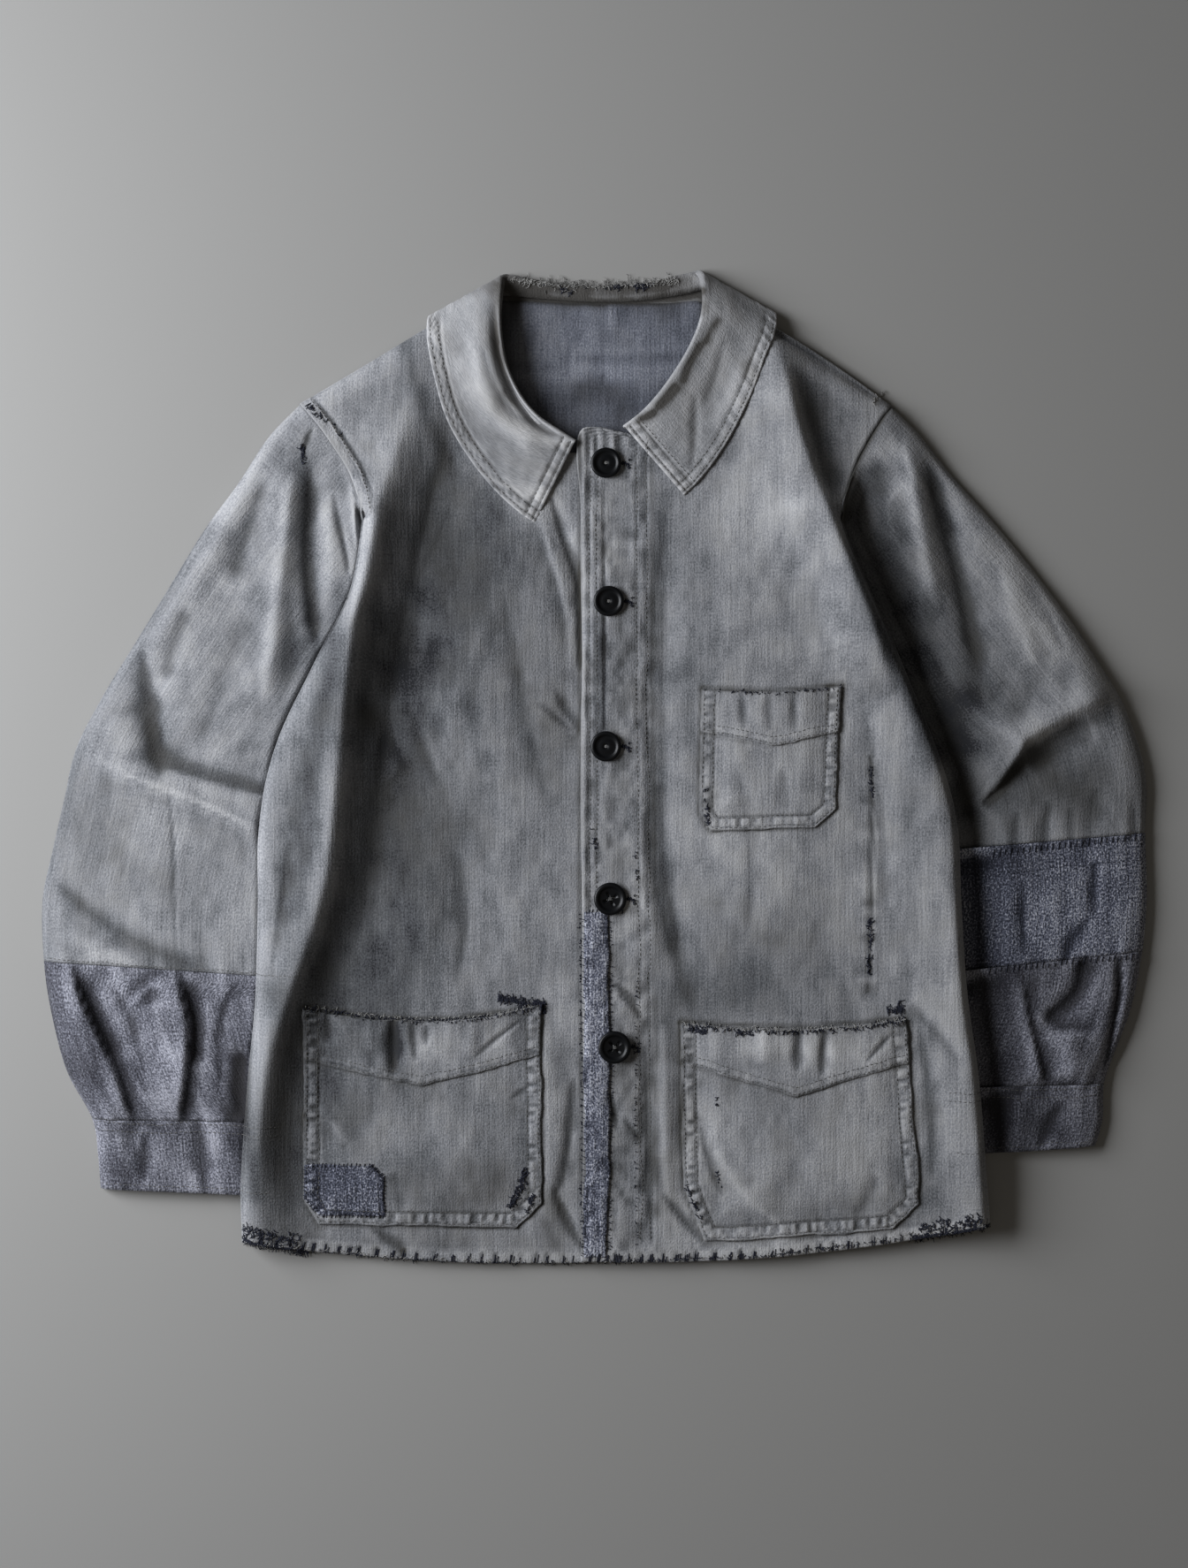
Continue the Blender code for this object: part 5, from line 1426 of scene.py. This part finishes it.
def frayed(top, navy):
    """The frayed ends of one colour."""
    ends = []
    for number, (line, count, longest, spread, dark) in enumerate(FRAYS):
        if dark == navy:
            ends += tufts(top, line, count, longest, spread, 80 + number)
    return ends


def hem_stitches(top, rows):
    """The coarse stitches over a front's hem, in five strands that grow fewer."""
    places = hem_places(rows)
    strands_laid = []
    for number in range(5):
        kept = places[np.random.default_rng(44 + number).uniform(0, 1, len(places)) > 0.2 * number]
        strands_laid += oversewn(top, hem_line(rows), kept + 0.65 * number - 1, 5.0, 0.9, 1.0, 40 + number)
    return strands_laid


def navy_threads(top):
    """What is sewn by hand in navy: the patches' edges, the hem, darns, frayed ends and buttonholes."""
    navy = stitched(top, inset(sides_of(POCKET_PATCH), 1.2), 30)
    navy += stitched(top, ((384, -66), (330, -71), (276, -76)), 31)
    for rows in (RIGHT_FRONT, LEFT_FRONT):
        navy += hem_stitches(top, rows)
    for line, pitch, inner, outer, slant in OVERSEWN:
        places = np.arange(pitch, length_of(line), pitch)
        navy += oversewn(top, wobble(np.array(line, float)), places, inner, outer, slant, 41)
    for number, (line, width, count, longest) in enumerate(DARNS):
        navy += darning(top, line, width, count, longest, 60 + number)
    navy += frayed(top, True)
    for x, y, diameter, _ in BUTTONS:
        # the end of a buttonhole, with a bar across it
        end = x + diameter / 2
        navy += darning(top, ((end - 1, y), (end + 5, y - 0.5)), 0.8, 16, 4, 130)
        navy += darning(top, ((end + 5, y + 3), (end + 5.5, y - 4)), 0.8, 10, 3, 131)
    return navy


# Half sections of the buttons from the middle of the back to that of the face: (share of the radius, height)
PLAIN_BUTTON = ((0.0, 0.0), (0.72, 0.0), (0.93, 0.7), (1.0, 1.5), (0.98, 2.2), (0.92, 2.7), (0.84, 2.9),
                (0.76, 2.7), (0.7, 2.0), (0.6, 1.7), (0.46, 2.0), (0.3, 2.2), (0.16, 2.1), (0.1, 1.6),
                (0.0, 1.5))
HOLED_BUTTON = ((0.0, 0.0), (0.72, 0.0), (0.93, 0.7), (1.0, 1.5), (0.985, 2.2), (0.93, 2.8), (0.85, 3.05),
                (0.77, 3.0), (0.71, 2.5), (0.66, 2.0), (0.58, 1.8), (0.3, 1.7), (0.0, 1.7))
HOLE_OFFSET = 2.1
HOLE_RADIUS = 1.0


def spun(profile, radius):
    """A round piece spun from half its section, in mm."""
    build = bmesh.new()
    path = [build.verts.new((share * radius, 0, height)) for share, height in profile]
    edges = [build.edges.new(pair) for pair in zip(path[:-1], path[1:])]
    bmesh.ops.spin(build, geom=path + edges, cent=(0, 0, 0), axis=(0, 0, 1), angle=2 * np.pi, steps=48,
                   use_merge=True)
    bmesh.ops.remove_doubles(build, verts=build.verts, dist=0.01)
    bmesh.ops.recalc_face_normals(build, faces=build.faces)
    return build


def button(number, place, diameter, sewn, finish):
    """A turned button: a rounded rim round a dish, with a raised middle or four holes."""
    name = f"turned_button_{number}"
    piece = placed(name, mesh_of(spun(HOLED_BUTTON if sewn else PLAIN_BUTTON, diameter / 2), name))
    if sewn:
        drill(piece)
    data = piece.data
    data.transform(Matrix.Translation(place) @ Matrix.Rotation(0.3 * number, 4, "Z"))
    data.transform(Matrix.Scale(MM, 4))
    data.shade_smooth()
    data.materials.append(finish)
    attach(piece, "root")
    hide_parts(f"button_{number}")


def drill(piece):
    """Four thread holes through a button's middle."""
    build = bmesh.new()
    for across in (-HOLE_OFFSET, HOLE_OFFSET):
        for along in (-HOLE_OFFSET, HOLE_OFFSET):
            bmesh.ops.create_cone(build, cap_ends=True, segments=16, radius1=HOLE_RADIUS, radius2=HOLE_RADIUS,
                                  depth=9.0, matrix=Matrix.Translation((across, along, 1)))
    bit = placed("drill", mesh_of(build, "drill"))
    cut = piece.modifiers.new("holes", "BOOLEAN")
    cut.object = bit
    cut.solver = "EXACT"
    bpy.context.view_layer.update()
    drilled = bpy.data.meshes.new_from_object(piece.evaluated_get(bpy.context.evaluated_depsgraph_get()))
    piece.modifiers.remove(cut)
    piece.data = drilled
    bpy.data.objects.remove(bit)


def pale_floor():
    """A plain pale floor, just under the jacket's lowest cloth, so that the two don't flicker."""
    build = bmesh.new()
    bmesh.ops.create_grid(build, x_segments=1, y_segments=1, size=3.0)
    floor = placed("floor", mesh_of(build, "floor"))
    floor.location.z = -0.0004
    made, _, shader = finish_of("pale_floor")
    shader.inputs["Base Color"].default_value = srgb("#8d8c89")
    shader.inputs["Roughness"].default_value = 0.85
    floor.data.materials.append(made)


def lamp(name, place, target, size, power, shade):
    """A rectangular light at a place, turned to a target."""
    light = bpy.data.lights.new(name, "AREA")
    light.shape = "RECTANGLE"
    light.size, light.size_y = size
    light.energy = power
    light.color = srgb(shade)[:3]
    holder = placed(name, light)
    holder.location = place
    holder.rotation_euler = (Vector(target) - Vector(place)).to_track_quat("-Z", "Y").to_euler()


def set_stage():
    """The floor, one big soft window of light from the left, a weak fill, and the camera overhead."""
    pale_floor()
    lamp("window", (-1.35, 0.3, 0.78), (0.1, -0.1, 0), (1.1, 0.9), 52, "#f2f5fb")
    lamp("fill", (0.9, -0.9, 2.4), (0, 0, 0), (2.5, 2.5), 3, "#fff2e2")
    world = bpy.data.worlds.new("room")
    world.use_nodes = True
    world.node_tree.nodes["Background"].inputs["Color"].default_value = srgb("#f3eee6")
    world.node_tree.nodes["Background"].inputs["Strength"].default_value = 0.07
    bpy.context.scene.world = world
    view = bpy.data.cameras.new("camera")
    camera = placed("camera", view)
    camera.location = (0.0006, -0.0124, 1.76)
    # 1.1 m, seen from 1.75 m above it, fills the frame's height
    view.lens = 36 * 1.75 / 1.1
    bpy.context.scene.camera = camera
    bpy.context.scene.view_settings.view_transform = "Standard"


def laid_height(plan, rows, pocket, lap, gather, gape, inner, layers):
    """Height of a piece laid on a front: a pocket, what is sewn on a pocket, or a strip on its own."""
    x, y = plan[..., 0], plan[..., 1]
    height = front_surface(x, y, lap) + layers * (GAP + PATCH_WALL)
    if pocket:
        height = height + pocket_height(plan, sides_of(pocket), upper_edge(pocket), inner, gather, gape)
    if rows is not pocket:
        edge = lower_edge(rows) if len(rows) == 2 else sides_of(rows)
        distance, _, along = beside(edge, x, y, 30)
        height = height - 0.6 * bell(distance, 0.9) - 0.5 * bell(distance - 2.2, 0.9)
        height = height + 0.35 * ripples(along, 3.4, 74) * bell(distance - 4, 2.5)
    return height


def dress():
    """The jacket's shown pieces by node, and what the collar's stitches follow."""
    chambray = washed_chambray(), "chambray"
    inside, collar_cloth = inner_chambray(), faded_collar_cloth()
    slate = marled_slate_cloth(), "marled_slate"
    navy = navy_marl_cloth(), "navy_marl"
    shown = {}

    def add(node_name, points, plan, wall, finish, slot, **more):
        """One piece in place of its node, kept above the floor."""
        lowest = 0.1 if node_name == "collar" else wall + 0.1
        points[..., 2] = np.maximum(points[..., 2], lowest)
        piece = cloth(node_name + "_cloth", points, plan, finish, wall, slot, **more)
        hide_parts(node_name)
        shown[node_name] = piece

    for node_name, rows, lap in (("right_front", RIGHT_FRONT, 0.0), ("left_front", LEFT_FRONT, LAP_LIFT)):
        points, plan = front_grid(rows, lap)
        # the pinched gaps between the hem's puckers are darkened with painted shade
        pinch, inward, _ = hem_pinch(rows, points[..., 0], points[..., 1])
        add(node_name, points, plan, CLOTH, *chambray, dirty=pinch * ramp(inward, 8.5, 5))
    add("back_panel", *back_grid(), CLOTH, inside, "chambray")
    points, plan, past_roll, to_edge, to_end = collar_grid()
    # darker along the collar's rows of stitches: grime, with painted shade in their grooves
    along_stitches = sum(bell(away - at, 1.0) for away in (to_edge, to_end) for at in COLLAR_ROWS)
    add("collar", points, plan, COLLAR_CLOTH, collar_cloth, "collar_cloth", pale=-0.5 * bell(past_roll, 4),
        dirty=0.45 * along_stitches * (past_roll > 6))

    for node_name, rows, start, end, stuff, gathers in (
        ("right_sleeve", RIGHT_SLEEVE, 0, 11, chambray, (0.3, 0.5)),
        ("right_sleeve_extension", RIGHT_SLEEVE, 11, 14, slate, (0.5, 1.2)),
        ("right_cuff", RIGHT_SLEEVE, 14, 16, slate, (0.7, 0.3)),
        ("left_sleeve", LEFT_SLEEVE, 0, 9, chambray, (0.3, 0.8)),
        ("left_sleeve_band", LEFT_SLEEVE, 9, 11, navy, (0.6, 0.6)),
        ("left_sleeve_extension", LEFT_SLEEVE, 11, 14, slate, (0.5, 1.2)),
        ("left_cuff", LEFT_SLEEVE, 14, 16, slate, (0.7, 0.3)),
    ):
        add(node_name, *sleeve_grid(rows, start, end, *gathers), CLOTH, *stuff, wrapped=True)

    # What a piece is laid on: (pocket, lap, gathers, gape of the pocket's top, its second row of stitches)
    chest = (CHEST_POCKET, LAP_LIFT, 0.45, 1.0, INNER_ROWS[0])
    right_hip = (RIGHT_POCKET, 0.0, 0.6, 2.4, INNER_ROWS[1])
    left_hip = (LEFT_POCKET, LAP_LIFT, 0.6, 2.4, INNER_ROWS[2])
    left_edge = (None, LAP_LIFT, 0.0, 0.0, 0)
    for node_name, rows, under, layers, stuff in (
        ("chest_pocket", CHEST_POCKET, chest, 1, chambray),
        ("chest_pocket_facing", CHEST_FACING, chest, ON_POCKET, chambray),
        ("right_hip_pocket", RIGHT_POCKET, right_hip, 1, chambray),
        ("right_hip_pocket_facing", RIGHT_FACING, right_hip, ON_POCKET, chambray),
        ("left_hip_pocket", LEFT_POCKET, left_hip, 1, chambray),
        ("left_hip_pocket_facing", LEFT_FACING, left_hip, ON_POCKET, chambray),
        ("pocket_patch", POCKET_PATCH, right_hip, ON_POCKET, navy),
        ("edge_strip", EDGE_STRIP, left_edge, 1, navy),
    ):
        plan = wobble(laid_grid(rows)[::-1])
        height = laid_height(plan, rows, *under, layers)
        add(node_name, np.concatenate([plan, height[..., None]], -1), plan, PATCH_CLOTH, *stuff)
    return shown, (points, past_roll)


def sew_on_buttons(top):
    """The five buttons on the cloth, and the threads over their middles."""
    plastic = plain_finish("pressed_black_plastic", "#08090b", 0.38, 0.2, 0.3)
    turn = np.linspace(0, 2 * np.pi, 13)
    middles = []
    for number, (x, y, diameter, sewn) in enumerate(BUTTONS, 1):
        ring = np.stack([x + 0.36 * diameter * np.cos(turn), y + 0.36 * diameter * np.sin(turn)], -1)
        base = top.lay(ring)[:, 2].max() + 0.2
        button(number, (x, y, base), diameter, sewn, plastic)
        for away in (-0.7, 0.0, 0.7):
            reach = np.linspace(-1, 1, 4) * (3.0 if sewn else 1.0)
            middles.append(np.stack([x + reach, y + away + 0 * reach, base + 2.0 - 0.4 * np.abs(reach)], -1))
    return middles


def lay_threads(top, collar, middles):
    """All the threads that show, in three pieces, by the sheet that each goes with."""
    seams = grey_threads(top, collar)
    pale = frayed(top, False) + darning(top, WORN_NECK, 4.5, 130, 5, 140) + middles
    navy = navy_threads(top)
    grey = plain_finish("grey_sewing_thread", "#5b5a58", 0.9, 0.2, 0.3)
    white = plain_finish("frayed_white_yarn", "#92918e", 0.9, 0.2, 0.3)
    blue = plain_finish("navy_darning_thread", "#23252f", 0.9, 0.2, 0.4)
    return {
        "right_front": [strands("seam_threads", seams, 0.5, grey)],
        "back_panel": [strands("frayed_ends", pale, 0.4, white)],
        "left_front": [strands("navy_threads", navy, 0.55, blue)],
    }


shown, collar = dress()
top = Top(shown.values())
threads = lay_threads(top, collar, sew_on_buttons(top))
set_stage()
